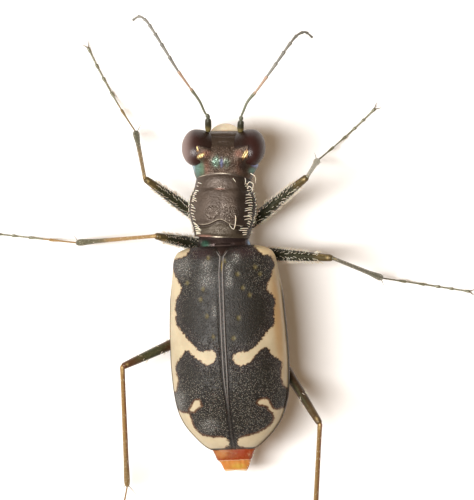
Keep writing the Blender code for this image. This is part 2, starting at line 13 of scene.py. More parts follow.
import bmesh
import bpy
import numpy as np
from mathutils import Euler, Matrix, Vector, noise
from mathutils.kdtree import KDTree


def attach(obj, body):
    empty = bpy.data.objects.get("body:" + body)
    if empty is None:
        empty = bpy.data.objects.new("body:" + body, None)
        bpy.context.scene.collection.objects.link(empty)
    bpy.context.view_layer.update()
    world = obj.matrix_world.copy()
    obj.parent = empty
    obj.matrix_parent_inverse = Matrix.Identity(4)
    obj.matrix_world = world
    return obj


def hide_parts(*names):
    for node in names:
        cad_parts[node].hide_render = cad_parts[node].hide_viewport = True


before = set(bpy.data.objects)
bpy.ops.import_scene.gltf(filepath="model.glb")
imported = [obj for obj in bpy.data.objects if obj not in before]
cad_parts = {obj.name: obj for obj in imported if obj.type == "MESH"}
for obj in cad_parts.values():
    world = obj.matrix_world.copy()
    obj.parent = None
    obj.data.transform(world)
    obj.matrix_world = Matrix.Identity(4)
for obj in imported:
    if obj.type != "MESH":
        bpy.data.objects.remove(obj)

MM = 0.001
SEED = 7
BAKE_MAP = "OFBake"
BAKE_PATCH = 0.003
BODY = "root"

Point = tuple[float, float, float]
Station = tuple[float, float]
Numbers = np.ndarray
Values = dict[str, np.ndarray]
Piece = bpy.types.Object
Tree = bpy.types.NodeTree
Socket = bpy.types.NodeSocket

log = logging.getLogger("tiger_beetle")


class Side(Enum):
    """The animal's own left and right, with the sign of X on each."""

    LEFT = 1
    RIGHT = -1

    @property
    def label(self) -> str:
        """Return the side's name as the nodes spell it."""
        return self.name.lower()


class Relief(Enum):
    """The kinds of fine relief that cuticle grows."""

    GRANULES = "raised beads, close together"
    WRINKLES = "soft irregular folds"
    STRIAE = "fine lines that run one way"


@dataclass(frozen=True)
class Profile:
    """A smooth curve through (place, value) stations that never overshoots them."""

    stations: tuple[Station, ...]

    def at(self, place: Numbers | float) -> Numbers:
        """Read the curve.

        Args:
            place: One place or an array of them, held to the first and last station.

        Returns:
            The value at each place.
        """
        knots = np.array(self.stations, float)
        x, v = knots[:, 0], knots[:, 1]
        slopes = np.diff(v) / np.diff(x)
        before, after = slopes[:-1], slopes[1:]
        same_way = before * after > 0.0
        total = np.where(same_way, before + after, 1.0)
        inner = np.where(same_way, 2.0 * before * after / total, 0.0)
        tangents = np.concatenate((slopes[:1], inner, slopes[-1:]))
        t = np.clip(place, x[0], x[-1])
        i = np.clip(np.searchsorted(x, t) - 1, 0, len(slopes) - 1)
        span = x[i + 1] - x[i]
        s = (t - x[i]) / span
        return (
            v[i] * (1.0 + 2.0 * s) * (1.0 - s) ** 2
            + v[i + 1] * s * s * (3.0 - 2.0 * s)
            + tangents[i] * span * s * (1.0 - s) ** 2
            + tangents[i + 1] * span * s * s * (s - 1.0)
        )


@dataclass(frozen=True)
class BodyFrame:
    """The tilted frame that carries one half of the body."""

    place: Point = (0.0, 0.0, 0.0)
    yaw: float = 0.0
    roll: float = 0.0

    def turned(self, ways: Numbers) -> Numbers:
        """Turn directions of this frame into directions of the whole model."""
        turn = Euler((0.0, math.radians(self.roll), math.radians(self.yaw))).to_matrix()
        return ways @ np.array(turn).T

    def to_world(self, points: Numbers) -> Numbers:
        """Turn points of this frame into points of the whole model, in millimetres."""
        return self.turned(points) + np.array(self.place)


WORLD = BodyFrame()
HEAD = BodyFrame((0.0, -4.14, 3.45), 0.0, 4.0)
FORE = BodyFrame((0.08, -4.16, 3.45), -1.9, 4.0)
HIND = BodyFrame((-0.02, -3.82, 3.05), 2.25, 4.0)


def unit(vectors: Numbers) -> Numbers:
    """Return vectors scaled to length one."""
    return vectors / np.maximum(np.linalg.norm(vectors, axis=-1, keepdims=True), 1e-9)


def hump(place: Numbers, centre: float, reach: float) -> Numbers:
    """Return a smooth hump of height one at centre that fades over reach."""
    return np.exp(-(((place - centre) / reach) ** 2))


def spot(x: Numbers, y: Numbers, centre: Station, reach: Station) -> Numbers:
    """Return a smooth round hump of height one at centre that fades over reach each way."""
    return hump(x, centre[0], reach[0]) * hump(y, centre[1], reach[1])


def ramp(place: Numbers, low: float, high: float) -> Numbers:
    """Return a smooth step that is nought before low and one after high."""
    s = np.clip((place - low) / (high - low), 0.0, 1.0)
    return s * s * (3.0 - 2.0 * s)


def held(values: Numbers) -> Numbers:
    """Return values held between nought and one."""
    return np.clip(values, 0.0, 1.0)


def stacked(*axes: Numbers) -> Numbers:
    """Return points made of their x, y and z, each spread to the shape of the others."""
    return np.stack(np.broadcast_arrays(*axes), axis=-1)


def shares(count: int) -> Numbers:
    """Return evenly spread numbers from nought to one."""
    return np.linspace(0.0, 1.0, count)


def turns(count: int, start: float = 0.5) -> Numbers:
    """Return evenly spread angles round a ring, the first a share of a step from nought."""
    return math.tau * (np.arange(count) + start) / count


def ripple(points: Numbers, size: float) -> Numbers:
    """Return soft noise from -1 to 1.

    Args:
        points: Places in millimetres, in an array whose last axis is x, y, z.
        size: The width of the noise's largest swellings, in millimetres.

    Returns:
        One value for each place.
    """
    flat = points.reshape(-1, 3) / size
    made = [noise.fractal(Vector(p), 1.0, 2.0, 2) for p in flat]
    return np.array(made).reshape(points.shape[:-1])


@dataclass(frozen=True)
class Mark:
    """A soft round mark on a skin, for one of its named forms or colours."""

    name: str
    middle: Station
    reach: Station
    size: float = 1.0
    paired: bool = False


def marked(marks: tuple[Mark, ...], x: Numbers, y: Numbers) -> Values:
    """Add up the marks that share a name.

    Args:
        marks: The marks. A paired one lies on the left and on the right.
        x: The places across, nought in the middle.
        y: The places along.

    Returns:
        The sum at each place, by name.
    """
    sums: Values = {}
    for mark in marks:
        across = np.abs(x) if mark.paired else x
        made = mark.size * spot(across, y, mark.middle, mark.reach)
        sums[mark.name] = sums.get(mark.name, 0.0) + made
    return sums


def rounded_outline(corners: tuple[Station, ...], steps: int = 5) -> Numbers:
    """Draw a closed smooth line.

    Args:
        corners: The places that it goes through, in order.
        steps: How many points it gets for each corner.

    Returns:
        The line's points, in order.
    """
    knots = np.array(corners, float)
    before, after, far = (np.roll(knots, shift, axis=0) for shift in (1, -1, -2))
    made = []
    for k in range(steps):
        s = k / steps
        made.append(0.5 * (
            2.0 * knots + (after - before) * s
            + (2.0 * before - 5.0 * knots + 4.0 * after - far) * s ** 2
            + (3.0 * knots - before - 3.0 * after + far) * s ** 3
        ))
    return np.stack(made, axis=1).reshape(-1, 2)


def depth_inside(x: Numbers, y: Numbers, outline: Numbers) -> Numbers:
    """Measure how far places lie inside a closed outline.

    Args:
        x: The places across, in any shape.
        y: The places along, in the same shape.
        outline: The outline's points, in order.

    Returns:
        The distance to the outline in the outline's unit, negative outside it.
    """
    place = np.stack((x.ravel(), y.ravel()), axis=1)
    nearest = np.full(len(place), np.inf)
    inside = np.zeros(len(place), bool)
    for a, b in zip(outline, np.roll(outline, -1, axis=0)):
        edge = b - a
        share = np.clip(((place - a) @ edge) / max(float(edge @ edge), 1e-12), 0.0, 1.0)
        gap = np.linalg.norm(place - a - share[:, None] * edge, axis=1)
        nearest = np.minimum(nearest, gap)
        if a[1] != b[1]:
            crosses = (a[1] > place[:, 1]) != (b[1] > place[:, 1])
            inside ^= crosses & (place[:, 0] < a[0] + edge[0] * (place[:, 1] - a[1]) / edge[1])
    return np.where(inside, nearest, -nearest).reshape(x.shape)


def to_linear(colour: str) -> tuple[float, float, float, float]:
    """Turn an sRGB colour into a linear one.

    Args:
        colour: The colour in hex, such as "4a3b2f".

    Returns:
        Red, green and blue, linear, and full opacity.
    """
    channels = [int(colour[i:i + 2], 16) / 255.0 for i in (0, 2, 4)]
    red, green, blue = (
        c / 12.92 if c <= 0.04045 else ((c + 0.055) / 1.055) ** 2.4 for c in channels
    )
    return red, green, blue, 1.0


def add_node(tree: Tree, kind: str, inputs: dict | None = None,
             **settings: object) -> bpy.types.Node:
    """Add a node with its settings and links.

    Args:
        tree: The node tree that gets it.
        kind: Blender's name for the node's type.
        inputs: What each input takes, by name or number: a value, or another node's output.
        settings: The node's own properties.

    Returns:
        The new node.
    """
    made = tree.nodes.new(kind)
    for name, value in settings.items():
        setattr(made, name, value)
    for key, value in (inputs or {}).items():
        if isinstance(value, Socket):
            tree.links.new(value, made.inputs[key])
        else:
            made.inputs[key].default_value = value
    return made


@dataclass(frozen=True)
class Stain:
    """A colour laid over the ground where one of the mesh's named values is high.

    "torn" says how ragged its edge is and how wide the tears are, in millimetres. "speckle" is
    the spacing of the beads whose tops alone it colours, in millimetres.
    """

    mask: str
    colour: str
    strength: float = 1.0
    start: float = 0.0
    full: float = 1.0
    torn: Station = (0.0, 0.0)
    speckle: float = 0.0


@dataclass(frozen=True)
class Grain:
    """One scale of relief that is too fine to model, in millimetres."""

    relief: Relief
    spacing: float
    height: float
    mask: str = ""
    run: Point = (1.0, 1.0, 1.0)


@dataclass(frozen=True)
class Cuticle:
    """A finish of insect cuticle: chitin grown in layers, hardened, and never painted."""

    name: str
    ground: str
    mottle: str
    mottle_size: float
    roughness: float
    metallic: float = 0.0
    ior: float = 1.56
    coat: float = 0.0
    coat_roughness: float = 0.12
    translucency: float = 0.0
    glow_depth: float = 0.15
    stains: tuple[Stain, ...] = ()
    grains: tuple[Grain, ...] = ()
    wet_look: float = 0.06

    def make(self) -> bpy.types.Material:
        """Build the material.

        Returns:
            A new material with this finish's colours, gloss and relief.
        """
        material = bpy.data.materials.new(self.name)
        material.use_nodes = True
        tree = material.node_tree
        shader = tree.nodes["Principled BSDF"]
        place = add_node(tree, "ShaderNodeTexCoord").outputs["Object"]
        if self.metallic < 0.5:
            shader.inputs["IOR"].default_value = self.ior
        for socket, value in (
            ("Metallic", self.metallic), ("Coat Weight", self.coat),
            ("Coat Roughness", self.coat_roughness), ("Subsurface Weight", self.translucency),
            ("Subsurface Scale", self.glow_depth * MM),
        ):
            shader.inputs[socket].default_value = value
        tree.links.new(self.coloured(tree, place), shader.inputs["Base Color"])
        tree.links.new(self.gloss(tree, place), shader.inputs["Roughness"])
        if self.grains:
            tree.links.new(self.relieved(tree, place), shader.inputs["Normal"])
        return material

    def coloured(self, tree: Tree, place: Socket) -> Socket:
        """Lay the mottle and every stain over the ground colour.

        Args:
            tree: The material's node tree.
            place: The object's own coordinates.

        Returns:
            The colour's output.
        """
        cloud = add_node(tree, "ShaderNodeTexNoise", {
            "Vector": place, "Scale": 1.0 / (self.mottle_size * MM), "Detail": 4.0,
            "Roughness": 0.62,
        })
        share = add_node(tree, "ShaderNodeMapRange", {
            "Value": cloud.outputs["Fac"], "From Min": 0.36, "From Max": 0.64,
        }, interpolation_type="SMOOTHSTEP")
        colour = add_node(tree, "ShaderNodeMix", {
            0: share.outputs["Result"], 6: to_linear(self.ground), 7: to_linear(self.mottle),
        }, data_type="RGBA").outputs[2]
        for stain in self.stains:
            colour = add_node(tree, "ShaderNodeMix", {
                0: self.amount(stain, tree, place), 6: colour, 7: to_linear(stain.colour),
            }, data_type="RGBA").outputs[2]
        return colour

    @staticmethod
    def amount(stain: Stain, tree: Tree, place: Socket) -> Socket:
        """Work out how strongly a stain covers each place.

        Args:
            stain: The stain.
            tree: The material's node tree.
            place: The object's own coordinates.

        Returns:
            The strength's output.
        """
        value = add_node(tree, "ShaderNodeAttribute", attribute_name=stain.mask).outputs["Fac"]
        ragged, width = stain.torn
        if ragged:
            tears = add_node(tree, "ShaderNodeTexNoise", {
                "Vector": place, "Scale": 1.0 / (width * MM), "Detail": 2.0,
            })
            value = add_node(tree, "ShaderNodeMath", {
                0: tears.outputs["Fac"], 1: 2.0 * ragged, 2: value,
            }, operation="MULTIPLY_ADD").outputs[0]
        amount = add_node(tree, "ShaderNodeMapRange", {
            "Value": value, "From Min": stain.start + ragged, "From Max": stain.full + ragged,
            "To Max": stain.strength,
        }, interpolation_type="SMOOTHSTEP").outputs["Result"]
        if stain.speckle:
            bead = add_node(tree, "ShaderNodeTexVoronoi", {
                "Vector": place, "Scale": 1.0 / (stain.speckle * MM),
            })
            top = add_node(tree, "ShaderNodeMapRange", {
                "Value": bead.outputs["Distance"], "From Min": 0.4, "From Max": 0.15,
            })
            amount = add_node(tree, "ShaderNodeMath", {
                0: amount, 1: top.outputs["Result"],
            }, operation="MULTIPLY").outputs[0]
        return amount

    def gloss(self, tree: Tree, place: Socket) -> Socket:
        """Vary the roughness softly round its own value, as a grown skin does.

        Args:
            tree: The material's node tree.
            place: The object's own coordinates.

        Returns:
            The roughness's output.
        """
        haze = add_node(tree, "ShaderNodeTexNoise", {
            "Vector": place, "Scale": 2.5 / (self.mottle_size * MM), "Detail": 3.0,
        })
        return add_node(tree, "ShaderNodeMapRange", {
            "Value": haze.outputs["Fac"], "From Min": 0.3, "From Max": 0.7,
            "To Min": self.roughness - self.wet_look, "To Max": self.roughness + self.wet_look,
        }).outputs["Result"]

    def relieved(self, tree: Tree, place: Socket) -> Socket:
        """Stack the fine relief, one bump on another.

        Args:
            tree: The material's node tree.
            place: The object's own coordinates.

        Returns:
            The last bump's normal output.
        """
        normal = None
        for grain in self.grains:
            scale = 1.0 / (grain.spacing * MM)
            if grain.relief is Relief.GRANULES:
                pattern = add_node(tree, "ShaderNodeTexVoronoi", {"Vector": place, "Scale": scale})
                height = add_node(tree, "ShaderNodeMapRange", {
                    "Value": pattern.outputs["Distance"], "From Min": 0.6, "From Max": 0.05,
                }, interpolation_type="SMOOTHSTEP").outputs["Result"]
            else:
                turned = add_node(tree, "ShaderNodeVectorMath", {
                    0: place, 1: grain.run,
                }, operation="MULTIPLY")
                pattern = add_node(tree, "ShaderNodeTexNoise", {
                    "Vector": turned.outputs[0], "Scale": scale, "Detail": 2.0,
                })
                height = pattern.outputs["Fac"]
            if grain.mask:
                limit = add_node(tree, "ShaderNodeAttribute", attribute_name=grain.mask)
                height = add_node(tree, "ShaderNodeMath", {
                    0: height, 1: limit.outputs["Fac"],
                }, operation="MULTIPLY").outputs[0]
            inputs = {"Height": height, "Strength": 1.0, "Distance": grain.height * MM}
            if normal is not None:
                inputs["Normal"] = normal
            normal = add_node(tree, "ShaderNodeBump", inputs).outputs["Normal"]
        return normal


# Cuticle of the head: near-black chitin under thin clear layers that reflect bronze, and gold,
# copper and blue-green where they are thicker. The eye sees a soft metal sheen on fine wrinkles.
# Painted glints lie on the granule tops behind the eyes, and a pale painted highlight lies in the
# middle of each gold patch.
HEAD_CUTICLE = Cuticle(
    name="bronze_chitin_wrinkled", ground="44372e", mottle="57483e", mottle_size=0.4,
    roughness=0.42, metallic=0.55,
    stains=(
        Stain("dusk", "43382f", 0.8),
        # Painted glints: pale colour on the tops of the granules behind the eyes.
        Stain("pearl", "957f6a", 0.45, speckle=0.05),
        Stain("rust", "6e4c3c", 0.6, torn=(0.25, 0.12)),
        Stain("green", "5b7a62", 0.8, torn=(0.2, 0.12)),
        Stain("teal", "688e86", 0.8, torn=(0.2, 0.2)),
        Stain("sky", "9db8c8", 0.85),
        Stain("glints", "6c8f80", 0.6, torn=(0.35, 0.08)),
        Stain("glints", "aac8b8", 0.75, speckle=0.05),
        Stain("violet", "7f88b8", 0.75, torn=(0.25, 0.07)),
        Stain("shade", "1c1310", 0.85),
        Stain("copper", "96695a", 0.6, torn=(0.35, 0.06)),
        # Gold colour, then a pale painted highlight in the middle of each gold patch.
        Stain("gold", "8a6440", 0.9, 0.15, 0.45, torn=(0.3, 0.06)),
        Stain("gold", "d8cc92", start=0.4, full=0.8, torn=(0.4, 0.05)),
    ),
    grains=(
        Grain(Relief.WRINKLES, 0.09, 0.02),
        Grain(Relief.GRANULES, 0.055, 0.02, mask="pearl"),
        Grain(Relief.STRIAE, 0.1, 0.05, mask="orbit", run=(3.0, 0.6, 1.0)),
    ),
)

# Cuticle of the prothorax: the same layered chitin, duller, so that the eye sees satin brown.
# It carries painted shade in its grooves and on its right side, painted glints on the granules
# of its lobes and rims, and a painted highlight along its pale rims, stronger on the left.
PRONOTUM_CUTICLE = Cuticle(
    name="bronze_chitin_satin", ground="483d35", mottle="574b42", mottle_size=0.7,
    roughness=0.5, metallic=0.45,
    stains=(
        Stain("olive", "4b4335", 0.8),
        # Painted shade in the grooves and along bands at the front and rear.
        Stain("dusk", "2b211b", 0.85),
        # Painted glints: pale colour on the granule tops of the lobes and rims.
        Stain("pearl", "c8beb2", 0.8, speckle=0.055),
        Stain("shade", "1f1712", 0.8, torn=(0.2, 0.4)),
        Stain("rose", "a3766a", 0.5, torn=(0.2, 0.1)),
        # Pale rims, with a painted highlight along them that is stronger on the left.
        Stain("rim", "efe4cf", 0.9),
    ),
    grains=(
        Grain(Relief.WRINKLES, 0.08, 0.014),
        Grain(Relief.GRANULES, 0.06, 0.024, mask="pearl"),
        Grain(Relief.STRIAE, 0.07, 0.02, mask="lobes", run=(0.6, 2.6, 1.0)),
    ),
)

# Cuticle of the wing cases: ivory chitin without pigment, and charcoal chitin full of it, set
# with close granules that glint. The real granules stand 0.05 apart; 0.065 lets them show.
# Painted glints lie on the granule tops and painted sheen in cloudy patches; the shoulders get
# painted light, the flank of the case on the shaded side painted shade, and the outer edge a
# painted shadow.
WING_CASE_CUTICLE = Cuticle(
    name="charcoal_and_ivory_chitin_granular", ground="b3a68a", mottle="beb194", mottle_size=0.9,
    roughness=0.55, ior=1.42, translucency=0.08,
    stains=(
        # Painted shade: a darker ochre along the flank of the case on the shaded side.
        Stain("amber", "b0884a", 0.75),
        # Painted light on the shoulders, much stronger on the shaded right case.
        Stain("shoulder", "e8d2a2", 0.8),
        Stain("dark", "5a3a24", 0.85, -0.05, -0.01, torn=(0.11, 0.1)),
        Stain("dark", "100d0b", start=-0.012, full=0.014, torn=(0.11, 0.1)),
        Stain("dark", "16140f", 0.6, 0.1, 0.6, torn=(0.35, 0.9)),
        Stain("plum", "2c1c20", 0.8, torn=(0.15, 0.3)),
        Stain("rust", "4a2c1a", 0.75),
        # Painted glints: pale colour on the granule tops, densest behind and near the dark edges.
        Stain("beads", "938e82", 0.75, speckle=0.056),
        # Painted sheen: grey-white cloudy patches, and their specks, on the dark cuticle.
        Stain("bloom", "4e4d4b", 0.7, torn=(0.3, 0.25)),
        Stain("bloom", "b5b6b0", 0.85, speckle=0.055),
        Stain("fovea", "7a6f42", 0.5, torn=(0.5, 0.06)),
        Stain("ridge", "8f8a88", 0.8, torn=(0.2, 0.1)),
        Stain("seam", "120d0a", 0.9),
        # Painted shadow: a dark line along the outer edge and at the rear tip.
        Stain("hem", "2b1f17", 0.95),
        Stain("glimmer", "8f7a2c", 0.75),
    ),
    grains=(
        Grain(Relief.WRINKLES, 0.3, 0.008),
        Grain(Relief.GRANULES, 0.065, 0.026, mask="rough"),
    ),
)

# Cuticle below the body: black chitin with a green and copper sheen, smooth and quite glossy.
UNDERBODY_CUTICLE = Cuticle(
    name="green_black_chitin_smooth", ground="23302a", mottle="3c2f26", mottle_size=0.8,
    roughness=0.36, metallic=0.6,
    stains=(
        Stain("dusk", "3b2e2c", 0.95),
        Stain("teal", "2f5748", 0.85, torn=(0.1, 0.3)),
        Stain("violet", "4a4f86", 0.7),
        Stain("blue", "3a80b0", 0.9),
        Stain("rim", "a0908c", 0.85),
    ),
    grains=(Grain(Relief.WRINKLES, 0.1, 0.015),),
)

# Cuticle of the legs: green-black on the thighs, where it is thick, then clear tan on the shins,
# where the light comes through it, with a painted golden highlight at the knees.
LEG_CUTICLE = Cuticle(
    name="green_and_tan_leg_chitin", ground="46422c", mottle="565038", mottle_size=0.35,
    roughness=0.38, metallic=0.3,
    stains=(
        Stain("foot", "7c7d68", 0.85),
        Stain("tan", "9a7743", 0.9),
        Stain("rufous", "70432a", 0.9, torn=(0.2, 0.2)),
        Stain("green", "34381f", 0.8),
        Stain("pallor", "9c9c8c", 0.8),
        Stain("knee", "5a4826", 0.85, torn=(0.3, 0.15)),
        Stain("thigh", "1f2014", 0.97),
        Stain("brown", "5a3620", 0.95, torn=(0.15, 0.5)),
        Stain("sheen", "4c5034", 0.6, torn=(0.25, 0.2)),
        # Painted highlight: gold on the top of each knee.
        Stain("gold", "d8c088", 0.65, torn=(0.4, 0.08)),
        Stain("bloom", "b8b49c", 0.7, torn=(0.4, 0.08)),
    ),
    grains=(Grain(Relief.WRINKLES, 0.07, 0.012),),
)

# Cuticle of the feelers: a bright green-copper root and a grey felt of tiny hairs beyond it,
# with a painted golden glint near the root.
ANTENNA_CUTICLE = Cuticle(
    name="antenna_chitin_felted", ground="6f706b", mottle="82817a", mottle_size=0.3,
    roughness=0.5, metallic=0.25,
    stains=(
        Stain("scape", "2b2b1b", 0.97),
        Stain("green", "646c52", 0.7),
        Stain("copper", "b8957c", 0.75),
        # Painted glint: gold near the root of the first segment.
        Stain("gold", "9a8850", 0.5, torn=(0.3, 0.15)),
    ),
    grains=(Grain(Relief.WRINKLES, 0.05, 0.01),),
)

# Cuticle of the upper lip: unpigmented chitin like ivory, a little clear, tanned at its root.
LIP_CUTICLE = Cuticle(
    name="ivory_chitin_smooth", ground="d9d0b8", mottle="d0c2a4", mottle_size=0.3,
    roughness=0.34, ior=1.5, translucency=0.15,
    stains=(Stain("tan", "c79a5c", 0.7), Stain("rim", "7b5430", 0.8)),
    grains=(Grain(Relief.WRINKLES, 0.12, 0.01),),
)

# Cuticle of the jaws: dense horn-brown chitin, ivory at the root and black at the cutting edge.
JAW_CUTICLE = Cuticle(
    name="horn_chitin_polished", ground="6b4222", mottle="7d5230", mottle_size=0.4,
    roughness=0.26, coat=0.3,
    stains=(Stain("root", "dcc294", 0.9), Stain("edge", "1d120c", 0.95)),
    grains=(Grain(Relief.WRINKLES, 0.15, 0.008),),
)

# Lens cuticle of the eyes: clear facets over plum-brown pigment. Painted light makes the outer
# side paler, fully on the left eye, which faces the light, and little on the right; painted
# shade darkens the inner side.
EYE_CUTICLE = Cuticle(
    name="eye_lens_chitin_faceted", ground="270f0e", mottle="2f1614", mottle_size=0.5,
    roughness=0.42, ior=1.36, coat=0.32, coat_roughness=0.08,
    # Painted light on the outer side, painted shade on the inner side.
    stains=(Stain("outer", "7f6c68", 0.9), Stain("inner", "1e110d", 0.85)),
    grains=(Grain(Relief.WRINKLES, 0.2, 0.004),),
)

# Cuticle of the bare tail: soft orange chitin with little pigment, so that light glows in it.
TAIL_CUTICLE = Cuticle(
    name="orange_chitin_soft", ground="80390f", mottle="8c4415", mottle_size=0.25,
    roughness=0.5, ior=1.42, translucency=0.25,
    stains=(
        Stain("deep", "8a2f06", 0.9, torn=(0.35, 0.14)),
        Stain("tawny", "a8703c", 0.8, torn=(0.35, 0.12)),
        Stain("clear", "bc7c3a", 0.9),
        Stain("yellow", "b59238", 0.85, torn=(0.3, 0.1)),
        Stain("pale", "dcc4a0", 0.8, torn=(0.3, 0.08)),
        Stain("rim", "dcae84", 0.8),
    ),
    grains=(Grain(Relief.WRINKLES, 0.16, 0.02),),
)

# Bristles: clear hollow hairs that look white wherever light strikes them.
WHITE_BRISTLE = Cuticle(
    name="white_seta_chitin", ground="f1e9da", mottle="e3d7c2", mottle_size=0.2,
    roughness=0.38, ior=1.5, translucency=0.1, grains=(Grain(Relief.WRINKLES, 0.05, 0.003),),
)

# Spurs, spines and claws: brown chitin drawn to a point.
SPINE_CUTICLE = Cuticle(
    name="brown_spine_chitin", ground="5a5344", mottle="706650", mottle_size=0.2,
    roughness=0.32, coat=0.2, grains=(Grain(Relief.WRINKLES, 0.06, 0.004),),
)


def add_to_scene(name: str, data: bpy.types.ID) -> Piece:
    """Put a mesh, a light or a camera into the scene.

    Args:
        name: The object's name.
        data: What it shows.

    Returns:
        The new object.
    """
    made = bpy.data.objects.new(name, data)
    bpy.context.scene.collection.objects.link(made)
    return made


def write_values(mesh: bpy.types.Mesh, values: Values) -> None:
    """Keep named values on a mesh, for the finish to read.

    Args:
        mesh: The mesh.
        values: The values by name, one for each point.
    """
    for key, value in values.items():
        layer = mesh.attributes.new(key, "FLOAT", "POINT")
        layer.data.foreach_set("value", value.astype(np.float32))


@dataclass
class Draft:
    """Collects the points and faces of one piece, in millimetres, with named values at points."""

    points: list[Numbers] = field(default_factory=list)
    quads: list[Numbers] = field(default_factory=list)
    caps: list[list[int]] = field(default_factory=list)
    values: list[tuple[int, Values]] = field(default_factory=list)
    count: int = 0

    def add(self, points: Numbers, values: Values | None = None, capped: bool = True) -> "Draft":
        """Add closed tubes, or a single one.

        Args:
            points: The places, as tubes by rings by sides by x, y, z. One tube has no first axis.
            values: Named values: one number for all places, or one for each.
            capped: Whether each end is filled with a face.

        Returns:
            The same draft.
        """
        rings, sides = points.shape[-3:-1]
        index = np.arange(points.size // 3).reshape(-1, rings, sides) + self.count
        after = np.roll(index, -1, axis=2)
        quads = np.stack((index[:, :-1], after[:, :-1], after[:, 1:], index[:, 1:]), axis=-1)
        self.quads.append(quads.reshape(-1, 4))
        if capped:
            self.caps += index[:, 0].tolist() + index[:, -1, ::-1].tolist()
        self.points.append(points.reshape(-1, 3))
        self.values.append((index.size, values or {}))
        self.count += index.size
        return self

    def build(self, name: str, body_frame: BodyFrame = WORLD,
              patches: Numbers | None = None) -> Piece:
        """Make the object.

        Args:
            name: The piece's name.
            body_frame: The frame that the points were given in.
            patches: Each point's place on the bake map, where the piece is a coat.

        Returns:
            A smooth-shaded mesh object in the scene, with its faces pointing out.
        """
        mesh = bpy.data.meshes.new(name)
        points = body_frame.to_world(np.concatenate(self.points)) * MM
        faces = np.concatenate(self.quads).tolist() + self.caps
        mesh.from_pydata(points.tolist(), [], faces)
        bm = bmesh.new()
        bm.from_mesh(mesh)
        bmesh.ops.recalc_face_normals(bm, faces=bm.faces)
        bm.to_mesh(mesh)
        bm.free()
        keys = sorted({key for _, values in self.values for key in values})
        write_values(mesh, {key: np.concatenate([
            np.broadcast_to(np.ravel(values.get(key, 0.0)), (count,))
            for count, values in self.values
        ]) for key in keys})
        if patches is not None:
            bake = mesh.uv_layers.new(name=BAKE_MAP)
            corners = np.zeros(len(mesh.loops), np.int32)
            mesh.loops.foreach_get("vertex_index", corners)
            places = patches.reshape(-1, 2)[corners]
            bake.data.foreach_set("uv", places.astype(np.float32).ravel())
        mesh.shade_smooth()
        return add_to_scene(name, mesh)


def settle(piece: Piece, finish: bpy.types.Material, slot: str, *nodes: str) -> None:
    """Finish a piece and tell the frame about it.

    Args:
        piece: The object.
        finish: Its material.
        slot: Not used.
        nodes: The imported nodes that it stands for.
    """
    piece.data.materials.append(finish)
    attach(piece, BODY)
    if nodes:
        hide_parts(*nodes)
    log.info("%s: %d faces", piece.name, len(piece.data.polygons))


def raised(points: Numbers, height: Numbers, closed: bool = True) -> Numbers:
    """Move a surface out of itself, square to its skin.

    Args:
        points: Its places, in rows.
        height: How far each moves.
        closed: Whether each row runs all the way round.

    Returns:
        The places moved.
    """
    along = np.gradient(points, axis=0)
    if closed:
        across = np.roll(points, -1, axis=1) - np.roll(points, 1, axis=1)
    else:
        across = np.gradient(points, axis=1)
    normals = unit(np.cross(along, across))
    outward = points - points.mean(axis=1, keepdims=True)
    facing = np.sign((normals * outward).sum(axis=-1).mean() + 1e-12)
    return points + normals * facing * height[..., None]


class Limb:
    """A round limb along a path, whose skin can be asked for at any place."""

    def __init__(self, path: Numbers, radii: Numbers, guide: Point = (0.0, 0.0, 1.0)) -> None:
        """Keep the path and work out which way is up along it.

        Args:
            path: The axis's points, in order.
            radii: The radius at each point.
            guide: The direction that the limb's back faces.
        """
        self.path = np.array(path, float)
        self.radii = np.array(radii, float)
        self.ahead = unit(np.gradient(self.path, axis=0))
        lift = np.array(guide) - self.ahead * (self.ahead @ np.array(guide))[:, None]
        self.back = unit(lift)
        self.flank = np.cross(self.ahead, self.back)

    def rings(self, sides: int) -> Numbers:
        """Lay the limb's skin in rings.

        Args:
            sides: How many points go round, the first on the limb's back.

        Returns:
            The places, as rings by sides by x, y, z.
        """
        angle = turns(sides, 0.0)[None, :, None]
        way = self.back[:, None] * np.cos(angle) + self.flank[:, None] * np.sin(angle)
        return self.path[:, None] + way * self.radii[:, None, None]

    def skin(self, place: Numbers, angle: Numbers) -> tuple[Numbers, Numbers, Numbers]:
        """Read the skin at any places.

        Args:
            place: How far along the path's points, from 0 to 1.
            angle: How far round from the limb's back, in radians.

        Returns:
            The points, the directions out of the skin and the directions ahead.
        """
        row = place * (len(self.path) - 1)
        low = np.clip(row.astype(int), 0, len(self.path) - 2)
        share = (row - low)[:, None]
        pick = [a[low] * (1 - share) + a[low + 1] * share
                for a in (self.path, self.back, self.flank, self.ahead)]
        radius = self.radii[low] * (1 - share[:, 0]) + self.radii[low + 1] * share[:, 0]
        out = pick[1] * np.cos(angle)[:, None] + pick[2] * np.sin(angle)[:, None]
        return pick[0] + out * radius[:, None], out, pick[3]


def smooth_route(points: tuple[Point, ...], count: int) -> Numbers:
    """Draw a smooth curve.

    Args:
        points: The places that it goes through.
        count: How many points it gets.

    Returns:
        The curve's points, evenly spread.
    """
    knots = np.array(points, float)
    reach = np.concatenate(([0.0], np.cumsum(np.linalg.norm(np.diff(knots, axis=0), axis=1))))
    share = reach / reach[-1]
    place = shares(count)
    axes = [Profile(tuple(zip(share, knots[:, axis]))).at(place) for axis in range(3)]
    return np.stack(axes, axis=1)


def resampled(path: Numbers, place: Numbers) -> Numbers:
    """Return the points at other places, from 0 to 1, along a path of evenly spread points."""
    own = shares(len(path))
    return np.stack([np.interp(place, own, path[:, axis]) for axis in range(3)], axis=1)


def segmented(ends: Numbers, place: Numbers) -> tuple[Numbers, Numbers]:
    """Return the number of the segment that holds each place, and how far along it that is."""
    index = np.clip(np.searchsorted(ends, place, side="right") - 1, 0, len(ends) - 2)
    return index, (place - ends[index]) / (ends[index + 1] - ends[index])


